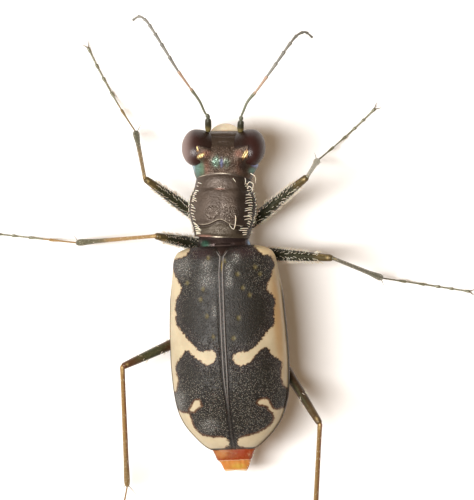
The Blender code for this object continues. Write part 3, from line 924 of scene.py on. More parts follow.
def bake_patches(places: Numbers, rings: int, sides: int) -> Numbers:
    """Give each hair its small patch of the bake map.

    Args:
        places: The middle of each hair's patch.
        rings: How many rings a hair has.
        sides: How many points each ring has.

    Returns:
        The places on the map, as hairs by rings by sides by u, v.
    """
    across = np.arange(sides)[None, :] / sides - 0.5
    along = np.linspace(-0.5, 0.5, rings)[:, None]
    patch = np.stack(np.broadcast_arrays(across, along), axis=-1) * BAKE_PATCH
    return places[:, None, None] + patch


@dataclass
class Bristles:
    """Many thin tapered hairs in one mesh, each a small patch of the bake map at its root."""

    rings: int = 6
    sides: int = 4
    sunk: float = 0.04
    blunt: float = 0.6
    hairs: list[tuple[Numbers, ...]] = field(default_factory=list)

    def add(self, roots: Numbers, ways: Numbers, bends: Numbers, lengths: Numbers,
            radius: float, patches: Numbers) -> None:
        """Add hairs.

        Args:
            roots: Where each leaves the skin.
            ways: The direction in which each starts.
            bends: The direction towards which each curls, as long as the curl is strong.
            lengths: How long each is.
            radius: How thick each is at its root.
            patches: The root's place on the bake map.
        """
        radii = np.full(lengths.shape, radius)
        self.hairs.append((roots, unit(ways), bends, lengths, radii, patches))

    def build(self, name: str) -> Piece:
        """Make the object, in the whole model's frame.

        Args:
            name: The piece's name.

        Returns:
            The coat of hair.
        """
        roots, ways, bends, lengths, radii, patches = map(np.concatenate, zip(*self.hairs))
        root, way, bend = (part[:, None, None] for part in (roots, ways, bends))
        length, radius = (part[:, None, None, None] for part in (lengths, radii))
        s = shares(self.rings)[None, :, None, None]
        turn = turns(self.sides, 0.0)[None, None, :, None]
        centre = root - way * self.sunk + length * (way * s + bend * s * s)
        ahead = unit(way + 2.0 * bend * s)
        plane = np.cross(way, bend) + 0.01 * np.cross(way, np.array((0.31, 0.62, 0.72)))
        across = unit(plane) + np.zeros_like(ahead)
        other = np.cross(ahead, across)
        taper = np.clip(1.0 - s, 0.0, 1.0) ** self.blunt * 0.92 + 0.08
        points = centre + (across * np.cos(turn) + other * np.sin(turn)) * radius * taper
        patches = bake_patches(patches, self.rings, self.sides)
        return Draft().add(points).build(name, patches=patches)


def oval(angle: Numbers, half_width: Numbers, up: Numbers, down: Numbers,
         fullness: float) -> tuple[Numbers, Numbers]:
    """Draw a rounded oval that stands across the body.

    Args:
        angle: The angles round it, counted from the animal's left side.
        half_width: Half its width.
        up: How far it reaches above its middle.
        down: How far it reaches below.
        fullness: Its roundness: 2 is an ellipse, and more is squarer.

    Returns:
        The places' x and z.
    """
    c, s = np.cos(angle), np.sin(angle)
    power = 2.0 / fullness
    reach = np.where(s > 0.0, up, down)
    return half_width * np.sign(c) * np.abs(c) ** power, reach * np.sign(s) * np.abs(s) ** power


@dataclass
class Head:
    """The head capsule, from inside the prothorax to the clypeus, in the head's frame."""

    rear: float = 2.15
    front: float = 4.28
    rows: int = 170
    columns: int = 240
    fullness: float = 2.5
    half_width: Profile = Profile((
        (2.15, 1.02), (2.42, 1.13), (2.7, 1.22), (2.92, 1.27), (3.12, 1.27), (3.3, 1.2),
        (3.5, 1.14), (3.64, 1.08), (3.75, 0.95), (3.9, 0.84), (4.08, 0.74), (4.2, 0.67),
        (4.28, 0.55),
    ))
    top: Profile = Profile((
        (2.15, 0.7), (2.5, 0.74), (2.8, 0.8), (3.1, 0.88), (3.35, 0.86), (3.6, 0.79), (3.85, 0.69),
        (4.05, 0.54), (4.18, 0.36), (4.28, 0.08),
    ))
    bottom: Profile = Profile((
        (2.15, 0.6), (2.76, 0.74), (3.2, 0.9), (3.6, 0.86), (3.95, 0.62), (4.15, 0.42), (4.28, 0.2),
    ))
    plate_height: float = 0.93
    plate_across: tuple[float, float, float, float] = (0.3, 0.66, 1.03, 1.1)
    plate_along: tuple[float, float, float, float] = (2.98, 3.24, 3.58, 3.68)
    plate_skew: float = 0.34
    right_bulge: float = 0.09
    furrow: Point = (-0.02, 0.03, 0.02)
    stria_spacing: float = 0.075
    wrinkle_height: float = 0.005
    wrinkle_width: float = 0.12
    forms: tuple[Mark, ...] = (
        Mark("frons dip", (0.0, 3.78), (0.3, 0.16), -0.05),
        Mark("frons dents", (0.36, 3.6), (0.1, 0.2), -0.03, paired=True),
        Mark("crown", (0.0, 3.15), (0.3, 0.25), 0.03),
        Mark("clypeus", (0.0, 4.17), (0.45, 0.05), 0.03),
        Mark("suture", (0.0, 4.08), (0.5, 0.025), -0.03),
        Mark("striae", (0.68, 3.42), (0.24, 0.2), 0.012, paired=True),
    )
    colours: tuple[Mark, ...] = (
        Mark("copper", (0.66, 3.38), (0.18, 0.14), 1.3, paired=True),
        Mark("orbit", (0.76, 3.42), (0.28, 0.26), paired=True),
        Mark("teal", (1.03, 2.76), (0.14, 0.34)),
        Mark("teal", (-1.17, 2.7), (0.16, 0.13)),
        Mark("sky", (1.2, 2.82), (0.08, 0.22)),
        Mark("sky", (-1.36, 2.86), (0.08, 0.12), 0.7),
        Mark("green", (0.86, 2.76), (0.12, 0.3)),
        Mark("rust", (0.66, 2.84), (0.14, 0.3), paired=True),
        Mark("shade", (-0.8, 2.88), (0.26, 0.26)),
        Mark("glints", (0.26, 3.04), (0.16, 0.22), 1.1),
        Mark("glints", (-0.16, 3.02), (0.14, 0.2), 0.7),
        Mark("violet", (0.04, 3.0), (0.06, 0.16), 1.1),
        Mark("violet", (-1.28, 2.93), (0.13, 0.1), 1.3),
    )

    def plate(self, beside: Numbers, y: Numbers) -> Numbers:
        """Find the raised plate over each eye's inner side.

        Args:
            beside: The places' distance from the middle.
            y: The places along.

        Returns:
            One on the plate and nought off it, with a soft edge.
        """
        across, along = self.plate_across, self.plate_along
        ahead = y - self.plate_skew * (beside - across[1])
        return (
            ramp(beside, *across[:2]) * (1.0 - ramp(beside, *across[2:]))
            * ramp(y, *along[:2]) * (1.0 - ramp(ahead, *along[2:]))
        )

    def relief(self, x: Numbers, y: Numbers) -> Numbers:
        """Shape the upper side: the frons's dip, the furrow, the striae and the clypeus.

        Args:
            x: The places across.
            y: The places along.

        Returns:
            How far the skin stands out.
        """
        middle, reach, depth = self.furrow
        furrow = -depth * hump(x, middle, reach) * ramp(y, 2.7, 2.9) * (1.0 - ramp(y, 3.2, 3.4))
        forms = marked(self.forms, x, y)
        fan = np.sin(math.tau * (np.abs(x) - 0.3 * (y - 3.3)) / self.stria_spacing)
        striae = fan * forms.pop("striae")
        return sum(forms.values()) + furrow + striae

    def masks(self, x: Numbers, y: Numbers, upper: Numbers) -> Values:
        """Work out where each colour lies.

        Args:
            x: The places across.
            y: The places along.
            upper: One on the upper side and nought below.

        Returns:
            The named values, each from 0 to 1.
        """
        beside, left, right = np.abs(x), x > 0.0, x < 0.0
        lines = 0.72 + 0.28 * np.sin(math.tau * (beside - 0.6 * (y - 3.3)) / 0.1)
        values = {key: upper * held(value) for key, value in marked(self.colours, x, y).items()}
        values["copper"] = values["copper"] * lines
        values["shade"] = values["shade"] * right
        # Gold colour in fine striae beside each eye, which also carries the painted highlight.
        values["gold"] = upper * lines * held(
            1.4 * left * spot(beside + 0.9 * (y - 3.26), y, (0.89, 3.28), (0.13, 0.12))
            + 0.9 * left * hump(beside, 1.02 + 0.25 * (y - 3.6), 0.05) * ramp(y, 3.4, 3.5)
            + 1.3 * right * spot(beside - 0.4 * (y - 3.35), y, (0.92, 3.34), (0.11, 0.17)))
        # Where the painted glints lie on the granules.
        values["pearl"] = (upper * ramp(y, 2.5, 2.7) * (1.0 - ramp(y, 3.6, 3.7))
                           * (0.35 + 0.65 * hump(x, 0.1, 0.5)))
        values["dusk"] = upper * ramp(y, 3.62, 3.72)
        return values

    def build(self) -> Piece:
        """Build the capsule with its metallic colours.

        Returns:
            The head capsule.
        """
        y = np.linspace(self.rear, self.front, self.rows)[:, None]
        angle = turns(self.columns)[None, :]
        x, z = oval(angle, self.half_width.at(y), self.top.at(y), self.bottom.at(y), self.fullness)
        y = np.broadcast_to(y, x.shape)
        x = x * (1.0 + (x < 0.0) * self.right_bulge * hump(y, 2.93, 0.26))
        beside = np.abs(x)
        upper = held(z / 0.2)
        crest = self.plate_height - 0.1 * ramp(beside, 0.8, 0.3)
        z = z + held(z / 0.1) * self.plate(beside, y) * np.maximum(crest - z, 0.0)
        points = raised(stacked(x, -y, z), self.relief(x, y) * upper)
        points = raised(points, self.wrinkle_height * ripple(points, self.wrinkle_width))
        return Draft().add(points, self.masks(x, y, upper)).build("head_capsule", HEAD)


@dataclass
class Eye:
    """One bulging compound eye, set in the side of the head."""

    side: Side
    centre: Point = (1.13, -3.62, 0.22)
    radii: Point = (0.54, 0.73, 0.66)
    inner_radius: float = 1.04
    lens_level: int = 5
    skin_level: int = 7
    lens_spacing: float = 0.077
    lens_height: float = 0.009
    tilt: float = 0.18
    # How strongly each eye's outer side gets the painted light: the left eye faces the light.
    pallor: ClassVar[dict[Side, float]] = {Side.LEFT: 1.0, Side.RIGHT: 0.15}

    def build(self) -> Piece:
        """Build the eye from a fine ball whose points bulge round each lens's middle.

        Returns:
            The eye.
        """
        lenses = bmesh.new()
        bmesh.ops.create_icosphere(lenses, subdivisions=self.lens_level, radius=1.0)
        tree = KDTree(len(lenses.verts))
        for index, vert in enumerate(lenses.verts):
            tree.insert(vert.co, index)
        tree.balance()
        lenses.free()
        ball = bmesh.new()
        bmesh.ops.create_icosphere(ball, subdivisions=self.skin_level, radius=1.0)
        away = np.array([tree.find(vert.co)[2] for vert in ball.verts])
        rest = np.array([vert.co for vert in ball.verts])
        faces = np.array([[v.index for v in face.verts] for face in ball.faces])
        ball.free()
        dome = 1.0 - (away / (0.6 * self.lens_spacing)) ** 2
        sign = self.side.value
        middle = np.array((sign * self.centre[0], self.centre[1], self.centre[2]))
        outward = sign * rest[:, 0]
        radii = np.tile(self.radii, (len(rest), 1))
        radii[:, 0] = np.where(outward < 0.0, self.inner_radius, radii[:, 0])
        points = rest * (radii + self.lens_height * dome[:, None]) + middle
        points[:, 2] += self.tilt * rest[:, 1]
        # Painted light on the outer side and painted shade on the inner side.
        values = {
            "outer": self.pallor[self.side] * held(0.3 + 0.9 * outward) ** 1.5,
            "inner": held(0.05 - 2.2 * outward),
        }
        mesh = bpy.data.meshes.new("eye")
        mesh.from_pydata((HEAD.to_world(points) * MM).tolist(), [], faces.tolist())
        write_values(mesh, values)
        mesh.shade_smooth()
        return add_to_scene(f"eye_lens_{self.side.label}", mesh)


@dataclass
class MouthParts:
    """The upper lip, the jaws folded below it and the two pairs of palps."""

    lip_half_width: float = 0.63
    lip_length: float = 0.54
    lip_thickness: float = 0.1
    lip_place: Point = (-0.02, -4.17, -0.3)
    lip_slope: float = 40.0
    lip_bulge: float = 0.1
    lip_curve: float = 0.96
    jaw_path: tuple[Point, ...] = (
        (0.5, -3.6, -0.78), (0.66, -3.86, -1.14), (0.6, -4.08, -1.46), (0.34, -4.2, -1.66),
        (0.02, -4.22, -1.72),
    )
    jaw_radii: Profile = Profile(((0.0, 0.24), (0.3, 0.2), (0.6, 0.12), (0.85, 0.07), (1.0, 0.02)))
    jaw_teeth: tuple[float, ...] = (0.5, 0.64, 0.78)
    palp_path: tuple[Point, ...] = (
        (0.5, -3.1, -0.8), (0.86, -3.2, -1.4), (1.22, -3.46, -1.52), (1.4, -3.8, -1.38),
    )
    lip_palp_path: tuple[Point, ...] = (
        (0.2, -3.3, -0.8), (0.36, -3.5, -1.38), (0.6, -3.7, -1.66), (0.86, -3.9, -1.7),
    )
    palp_segments: int = 4
    palp_radius: float = 0.075
    lip_rows: int = 31
    lip_columns: int = 61
    jaw_rings: int = 48
    jaw_sides: int = 18
    tooth_rings: int = 8
    palp_sides: int = 12

    def lip(self) -> Piece:
        """Build the upper lip: a bulging plate with a round front edge.

        Returns:
            The upper lip.
        """
        across = np.linspace(-1.0, 1.0, self.lip_columns)[None, :]
        down = shares(self.lip_rows)[:, None]
        bow = 1.05 * np.sqrt(1.0 - (self.lip_curve * across) ** 2) - 0.05
        x = self.lip_half_width * across * (1.0 - 0.04 * down)
        y = down * self.lip_length * bow
        crown = self.lip_bulge * (1.0 - across ** 2) * (1.0 - 0.3 * down)
        edge = 0.05 * held((np.maximum(np.abs(across), down) - 0.8) / 0.2) ** 2
        tilt = math.radians(self.lip_slope)
        upper, lower = (
            stacked(x, -y * math.cos(tilt) - z * math.sin(tilt),
                    z * math.cos(tilt) - y * math.sin(tilt))
            for z in (crown - edge, crown - self.lip_thickness + edge)
        )
        ring = np.concatenate((upper, lower[:, ::-1]), axis=1) + np.array(self.lip_place)
        tan = held(1.0 - 3.0 * down) + np.zeros(ring.shape[:2])
        rim = held(10.0 * down - 9.0) + np.zeros(ring.shape[:2])
        return Draft().add(ring, {"tan": tan, "rim": rim}).build("labrum_plate", HEAD)

    def jaw(self, side: Side) -> Piece:
        """Build one curved jaw with teeth along its inner edge.

        Args:
            side: The side that it is on.

        Returns:
            The jaw.
        """
        count, sides, rings = self.jaw_rings, self.jaw_sides, self.tooth_rings
        path = smooth_route(self.jaw_path, count) * np.array((side.value, 1.0, 1.0))
        share = shares(count)
        limb = Limb(path, self.jaw_radii.at(share), (0.0, -1.0, 0.3))
        draft = Draft().add(limb.rings(sides), {
            "root": np.repeat(held(1.0 - 2.6 * share), sides),
            "edge": np.repeat(held(2.4 * share - 1.3), sides),
        })
        for place in self.jaw_teeth:
            base = path[int(place * (count - 1))]
            way = unit(np.array((-side.value * 0.9, -0.1, 0.35)))
            spine = base + way * np.linspace(0.02, 0.26, rings)[:, None]
            cone = Limb(spine, np.linspace(0.075, 0.012, rings), (0.0, 1.0, 0.0))
            draft.add(cone.rings(8), {"edge": 1.0})
        return draft.build(f"jaw_{side.label}", HEAD)

    def palps(self, side: Side) -> Piece:
        """Build one side's outer and inner palp, jointed and clubbed at the end.

        Args:
            side: The side that they are on.

        Returns:
            The two palps in one piece.
        """
        draft = Draft()
        for route, size in ((self.palp_path, 1.0), (self.lip_palp_path, 0.8)):
            count = 12 * self.palp_segments
            path = smooth_route(route, count) * np.array((side.value, 1.0, 1.0))
            share = shares(count)
            phase = share * self.palp_segments % 1.0
            pinch = 0.62 + 0.38 * np.sin(math.pi * phase) ** 0.5
            ends = np.clip((1.0 - share) / 0.03, 0.2, 1.0)
            radii = self.palp_radius * size * pinch * ends * (1.25 - 0.25 * share)
            draft.add(Limb(path, radii, (0.0, 1.0, 0.0)).rings(self.palp_sides))
        return draft.build(f"palps_{side.label}", HEAD)


@dataclass
class Antenna:
    """One feeler of eleven segments, each narrow at its root and swollen at its end."""

    side: Side
    path: tuple[Point, ...]
    segments: tuple[float, ...] = (0.64, 0.22, 1.4, 0.9, 0.74, 0.62, 0.51, 0.42, 0.35, 0.3, 0.32)
    radii: tuple[float, ...] = (
        0.135, 0.085, 0.062, 0.06, 0.068, 0.072, 0.07, 0.067, 0.063, 0.058, 0.052,
    )
    tip_taper: Point = (0.9, 0.6, 0.25)
    route_points: int = 600
    rows: int = 16
    columns: int = 14
    shape: Profile = Profile((
        (0.0, 0.55), (0.06, 0.68), (0.3, 0.78), (0.7, 0.9), (0.9, 1.12), (0.97, 1.0), (1.0, 0.6),
    ))
    scape_shape: Profile = Profile((
        (0.0, 0.55), (0.15, 0.85), (0.45, 1.0), (0.75, 0.98), (0.92, 0.8), (1.0, 0.45),
    ))

    def build(self) -> Piece:
        """Build the feeler with its bright root and grey end.

        Returns:
            The feeler.
        """
        starts = np.cumsum((0.0,) + self.segments) / sum(self.segments)
        share = np.concatenate([
            np.linspace(a, b, self.rows, endpoint=False) for a, b in zip(starts, starts[1:])
        ] + [np.array([1.0])])
        index, phase = segmented(starts, share)
        form = np.where(index < 2, self.scape_shape.at(phase), self.shape.at(phase))
        radii = np.array(self.radii)[index] * form
        radii[-3:] *= self.tip_taper
        path = resampled(smooth_route(self.path, self.route_points), share)
        values = {
            "scape": held(1.0 - 0.5 * index),
            # Painted glint near the root.
            "gold": (index == 0) * hump(phase, 0.25, 0.22),
            "green": (index == 2) * 0.9 + (index == 1) * 0.5,
            "copper": (index == 3) * 0.8 + (index == 2) * hump(phase, 1.0, 0.1),
        }
        wide = {key: np.repeat(value, self.columns) for key, value in values.items()}
        draft = Draft().add(Limb(path, radii).rings(self.columns), wide)
        return draft.build(f"feeler_{self.side.label}")


@dataclass(frozen=True)
class Comb:
    """One row of stout white bristles along a side of the prothorax."""

    side: Side
    angle: float
    span: Station
    count: int
    length: float
    slant: float
    radius: float = 0.02
    outward: float = 0.25
    curl: float = 0.65
    sweep: float = 0.3
    unruly: float = 0.07


@dataclass
class Pronotum:
    """The prothorax: a drum with a groove behind its front rim and before its rear one."""

    length: float = 2.33
    bow: float = 0.24
    rows: int = 230
    columns: int = 240
    fullness: float = 2.2
    half_width: Profile = Profile((
        (0.0, 1.1), (0.06, 1.12), (0.17, 1.18), (0.3, 1.28), (0.5, 1.36), (0.7, 1.31),
        (0.84, 1.17), (0.93, 1.13), (1.0, 1.1),
    ))
    top: Profile = Profile((
        (0.0, 0.84), (0.08, 0.92), (0.16, 0.9), (0.3, 0.98), (0.55, 1.04), (0.74, 0.98),
        (0.84, 0.92), (0.93, 0.9), (1.0, 0.82),
    ))
    bottom: Profile = Profile(((0.0, 0.86), (0.5, 0.95), (1.0, 0.85)))
    front_groove: float = 0.8
    rear_groove: float = 0.178
    lobe: Station = (0.36, 0.42)
    wrinkle_height: float = 0.005
    wrinkle_width: float = 0.13
    colours: tuple[Mark, ...] = (
        # Where the painted glints lie on the granules.
        Mark("pearl", (0.06, 0.88), (0.2, 0.08), 0.3),
        Mark("pearl", (0.0, 0.79), (0.2, 0.03), 0.8),
        Mark("pearl", (0.0, 0.09), (0.3, 0.08), 0.5),
        Mark("pearl", (-0.34, 0.42), (0.36, 0.16)),
        Mark("pearl", (0.36, 0.45), (0.24, 0.13), 0.3),
        Mark("rose", (0.62, 0.02), (0.34, 0.02)),
        Mark("rose", (0.1, 0.78), (0.2, 0.012)),
        Mark("rim", (-0.01, 0.4), (0.014, 0.14), 0.2),
    )
    combs: tuple[Comb, ...] = (
        Comb(Side.RIGHT, 0.52, (0.78, 0.92), 5, 0.28, 0.1, unruly=0.3),
        Comb(Side.RIGHT, 0.5, (0.4, 0.75), 9, 0.34, -0.2, sweep=0.35, radius=0.024, unruly=0.04),
        Comb(Side.RIGHT, 0.46, (0.21, 0.36), 5, 0.4, -0.5, sweep=0.5, radius=0.026, unruly=0.05),
        Comb(Side.RIGHT, 0.52, (0.07, 0.17), 4, 0.34, 0.0, sweep=0.1, radius=0.026),
        Comb(Side.RIGHT, 0.2, (0.22, 0.82), 13, 0.38, -0.7, outward=0.6, curl=0.4, sweep=0.5),
        Comb(Side.RIGHT, -0.06, (0.1, 0.9), 14, 0.3, -0.5, outward=0.9, curl=0.5),
        Comb(Side.LEFT, 0.52, (0.86, 0.91), 2, 0.24, 0.1),
        Comb(Side.LEFT, 0.48, (0.61, 0.79), 7, 0.36, -0.2, sweep=0.5, radius=0.024, unruly=0.04),
        Comb(Side.LEFT, 0.44, (0.25, 0.56), 7, 0.3, 0.0),
        Comb(Side.LEFT, 0.5, (0.14, 0.22), 3, 0.36, -0.2, sweep=0.5, radius=0.026),
        Comb(Side.LEFT, 0.5, (0.05, 0.1), 3, 0.3, 0.0, sweep=0.1, radius=0.026),
        Comb(Side.LEFT, 0.14, (0.1, 0.84), 14, 0.24, 0.3, outward=0.6, curl=0.5),
    ) + tuple(
        Comb(side, angle, (0.08, 0.92), 17, 0.32, 0.0) for side in Side
        for angle in (-0.3, -0.62, -0.95)
    )
    stray_hairs: tuple[tuple[Point, ...], ...] = (
        ((-0.57, -0.9, 1.0), (-0.6, -0.78, 1.05), (-0.57, -0.46, 1.0), (-0.51, -0.35, 0.97),
         (-0.39, -0.46, 0.95), (-0.31, -0.62, 0.95)),
        ((-0.43, -2.38, 0.9), (-0.49, -2.31, 0.99), (-0.55, -2.22, 1.0)),
        ((-1.1, -2.6, 0.55), (-1.27, -2.5, 0.62), (-1.31, -2.36, 0.56), (-1.3, -2.18, 0.45)),
        ((-0.98, -2.14, 0.7), (-1.1, -2.26, 0.85), (-1.24, -2.16, 0.8), (-1.2, -1.98, 0.78),
         (-1.04, -1.9, 0.82)),
        ((-1.0, -1.98, 0.74), (-1.08, -2.08, 0.86), (-1.22, -1.94, 0.82), (-1.14, -1.8, 0.78)),
        ((-0.9, -2.4, 0.72), (-0.93, -2.28, 0.86), (-0.9, -2.12, 0.82)),
    )
    stray_radius: float = 0.016
    stray_rings: int = 60
    stray_sides: int = 8

    def surface(self, t: Numbers, angle: Numbers) -> Numbers:
        """Read the plain shell, without its relief.

        Args:
            t: How far along it, from 0 at the rear to 1 at the front.
            angle: How far round it, counted from the left.

        Returns:
            The places, in the fore body's frame.
        """
        x, z = oval(angle, self.half_width.at(t), self.top.at(t), self.bottom.at(t), self.fullness)
        lead = self.bow * held((t - 0.35) / 0.65) ** 1.5
        y = self.length * t + lead * (1.0 - (x / 1.1) ** 2) * held(z + 0.6)
        return stacked(x, -y, z)

    def build(self) -> Piece:
        """Build the prothorax with its grooves, lobes, rims and beads.

        Returns:
            The prothorax's shell.
        """
        t = shares(self.rows)[:, None]
        points = self.surface(t, turns(self.columns)[None, :])
        x, z = points[..., 0], points[..., 2]
        t = np.broadcast_to(t, x.shape)
        upper = held(z / 0.35)
        vee = self.rear_groove + 0.1 * hump(x, 0.03, 0.36)
        ahead = self.front_groove - 0.03 * hump(x, 0.0, 0.3)
        front, rear = hump(t, ahead, 0.03), hump(t, vee, 0.024)
        between = ramp(t, vee, vee + 0.03) * (1.0 - ramp(t, ahead - 0.03, ahead))
        behind = 1.0 - ramp(t, vee - 0.03, vee)
        middle = hump(x, 0.01, 0.022) * between
        lobes = spot(np.abs(x), t, self.lobe, (0.32, 0.16))
        away = np.hypot(np.abs(x) - self.lobe[0], (t - self.lobe[1]) * self.length)
        rings = np.sin(math.tau * away / 0.16) * hump(away, 0.2, 0.12)
        rim = hump(t, 1.0, 0.01) + 0.4 * hump(t, 0.0, 0.014)
        relief = (
            -0.018 * front - 0.045 * rear - 0.015 * middle + 0.045 * lobes + 0.009 * rings
            + 0.03 * rim + 0.03 * hump(t, vee + 0.035, 0.014)
        )
        points = raised(points, relief * upper)
        points = raised(points, self.wrinkle_height * ripple(points, self.wrinkle_width))
        edge = hump(t, vee + 0.035, 0.009) * (1.0 - ramp(np.abs(x), 0.75, 0.95))
        marks = marked(self.colours, x, t)
        values = {
            # Pale rims with a painted highlight, strongest in the middle and at the front-left
            # corner.
            "rim": upper * held(
                hump(t, 1.0, 0.007) * (0.1 + 0.9 * hump(x, 0.03, 0.3) + 0.7 * hump(x, 0.8, 0.2))
                + hump(t, 0.008, 0.012) * (0.05 + 0.8 * hump(x, 0.12, 0.2))
                + 0.5 * edge + marks["rim"]),
            # Painted glints on the granules, with arcs round the left lobe.
            "pearl": upper * held(
                marks["pearl"] + 0.7 * lobes * (x > 0.0) * hump(away, 0.22, 0.05)),
            "lobes": upper * lobes,
            "rose": marks["rose"],
            "olive": upper * behind,
            # Painted shade: darker in the grooves, along the middle line and in bands at front and
            # rear.
            "dusk": upper * held(0.15 * front + 0.5 * rear + 0.5 * middle
                                 + 0.25 * ramp(t, 0.84, 0.9) + 0.3 * behind),
            "shade": ramp(-x, 0.38, 0.8) * ramp(t, 0.02, 0.1),
        }
        return Draft().add(points, values).build("prothorax_shell", FORE)

    def comb(self, bristles: Bristles, rng: np.random.Generator) -> None:
        """Set the stout white bristles that lie in combs along both sides.

        Args:
            bristles: The hairs' collector.
            rng: The source of small differences.
        """
        rearward = np.array((0.0, 1.0, 0.0))
        for row in self.combs:
            mirror = np.array((row.side.value, 1.0, 1.0))
            count = row.count
            t = np.linspace(*row.span, count) + rng.normal(0.0, 0.003, count)
            angle = row.angle + rng.normal(0.0, 0.02, count)
            here = self.surface(t, angle)
            up = unit(self.surface(t, angle + 0.02) - here)
            out = unit(np.cross(-rearward, up))
            out *= np.sign((out * here * np.array((1.0, 0.0, 1.0))).sum(axis=1))[:, None]
            lean = (row.slant + rng.normal(0.0, row.unruly, count))[:, None] * rearward
            way = up * (1.1 - row.outward) + out * (row.outward + 0.15) + lean
            sweep = rng.normal(row.sweep, row.unruly, count)[:, None] * rearward
            bend = up * 0.3 - out * row.curl * rng.uniform(0.7, 1.3, count)[:, None] + sweep
            bristles.add(
                FORE.to_world(here * mirror), FORE.turned(way * mirror),
                FORE.turned(bend * mirror), row.length * rng.uniform(0.7, 1.15, count), row.radius,
                np.stack((0.5 + row.side.value * (0.1 + 0.3 * angle / math.tau), t * 0.5), axis=1),
            )

    def stray(self) -> Piece:
        """Build the long pale hairs that lie hooked and looped over the shell.

        Returns:
            The hairs.
        """
        rings, sides = self.stray_rings, self.stray_sides
        taper = self.stray_radius * (1.05 - shares(rings) ** 3)
        tubes = np.stack([Limb(smooth_route(route, rings), taper).rings(sides)
                          for route in self.stray_hairs])
        roots = np.array([route[0][:2] for route in self.stray_hairs])
        patches = bake_patches(0.5 + roots * np.array((0.1, -0.15)), rings, sides)
        return Draft().add(tubes).build("prothorax_stray_hair", FORE, patches)


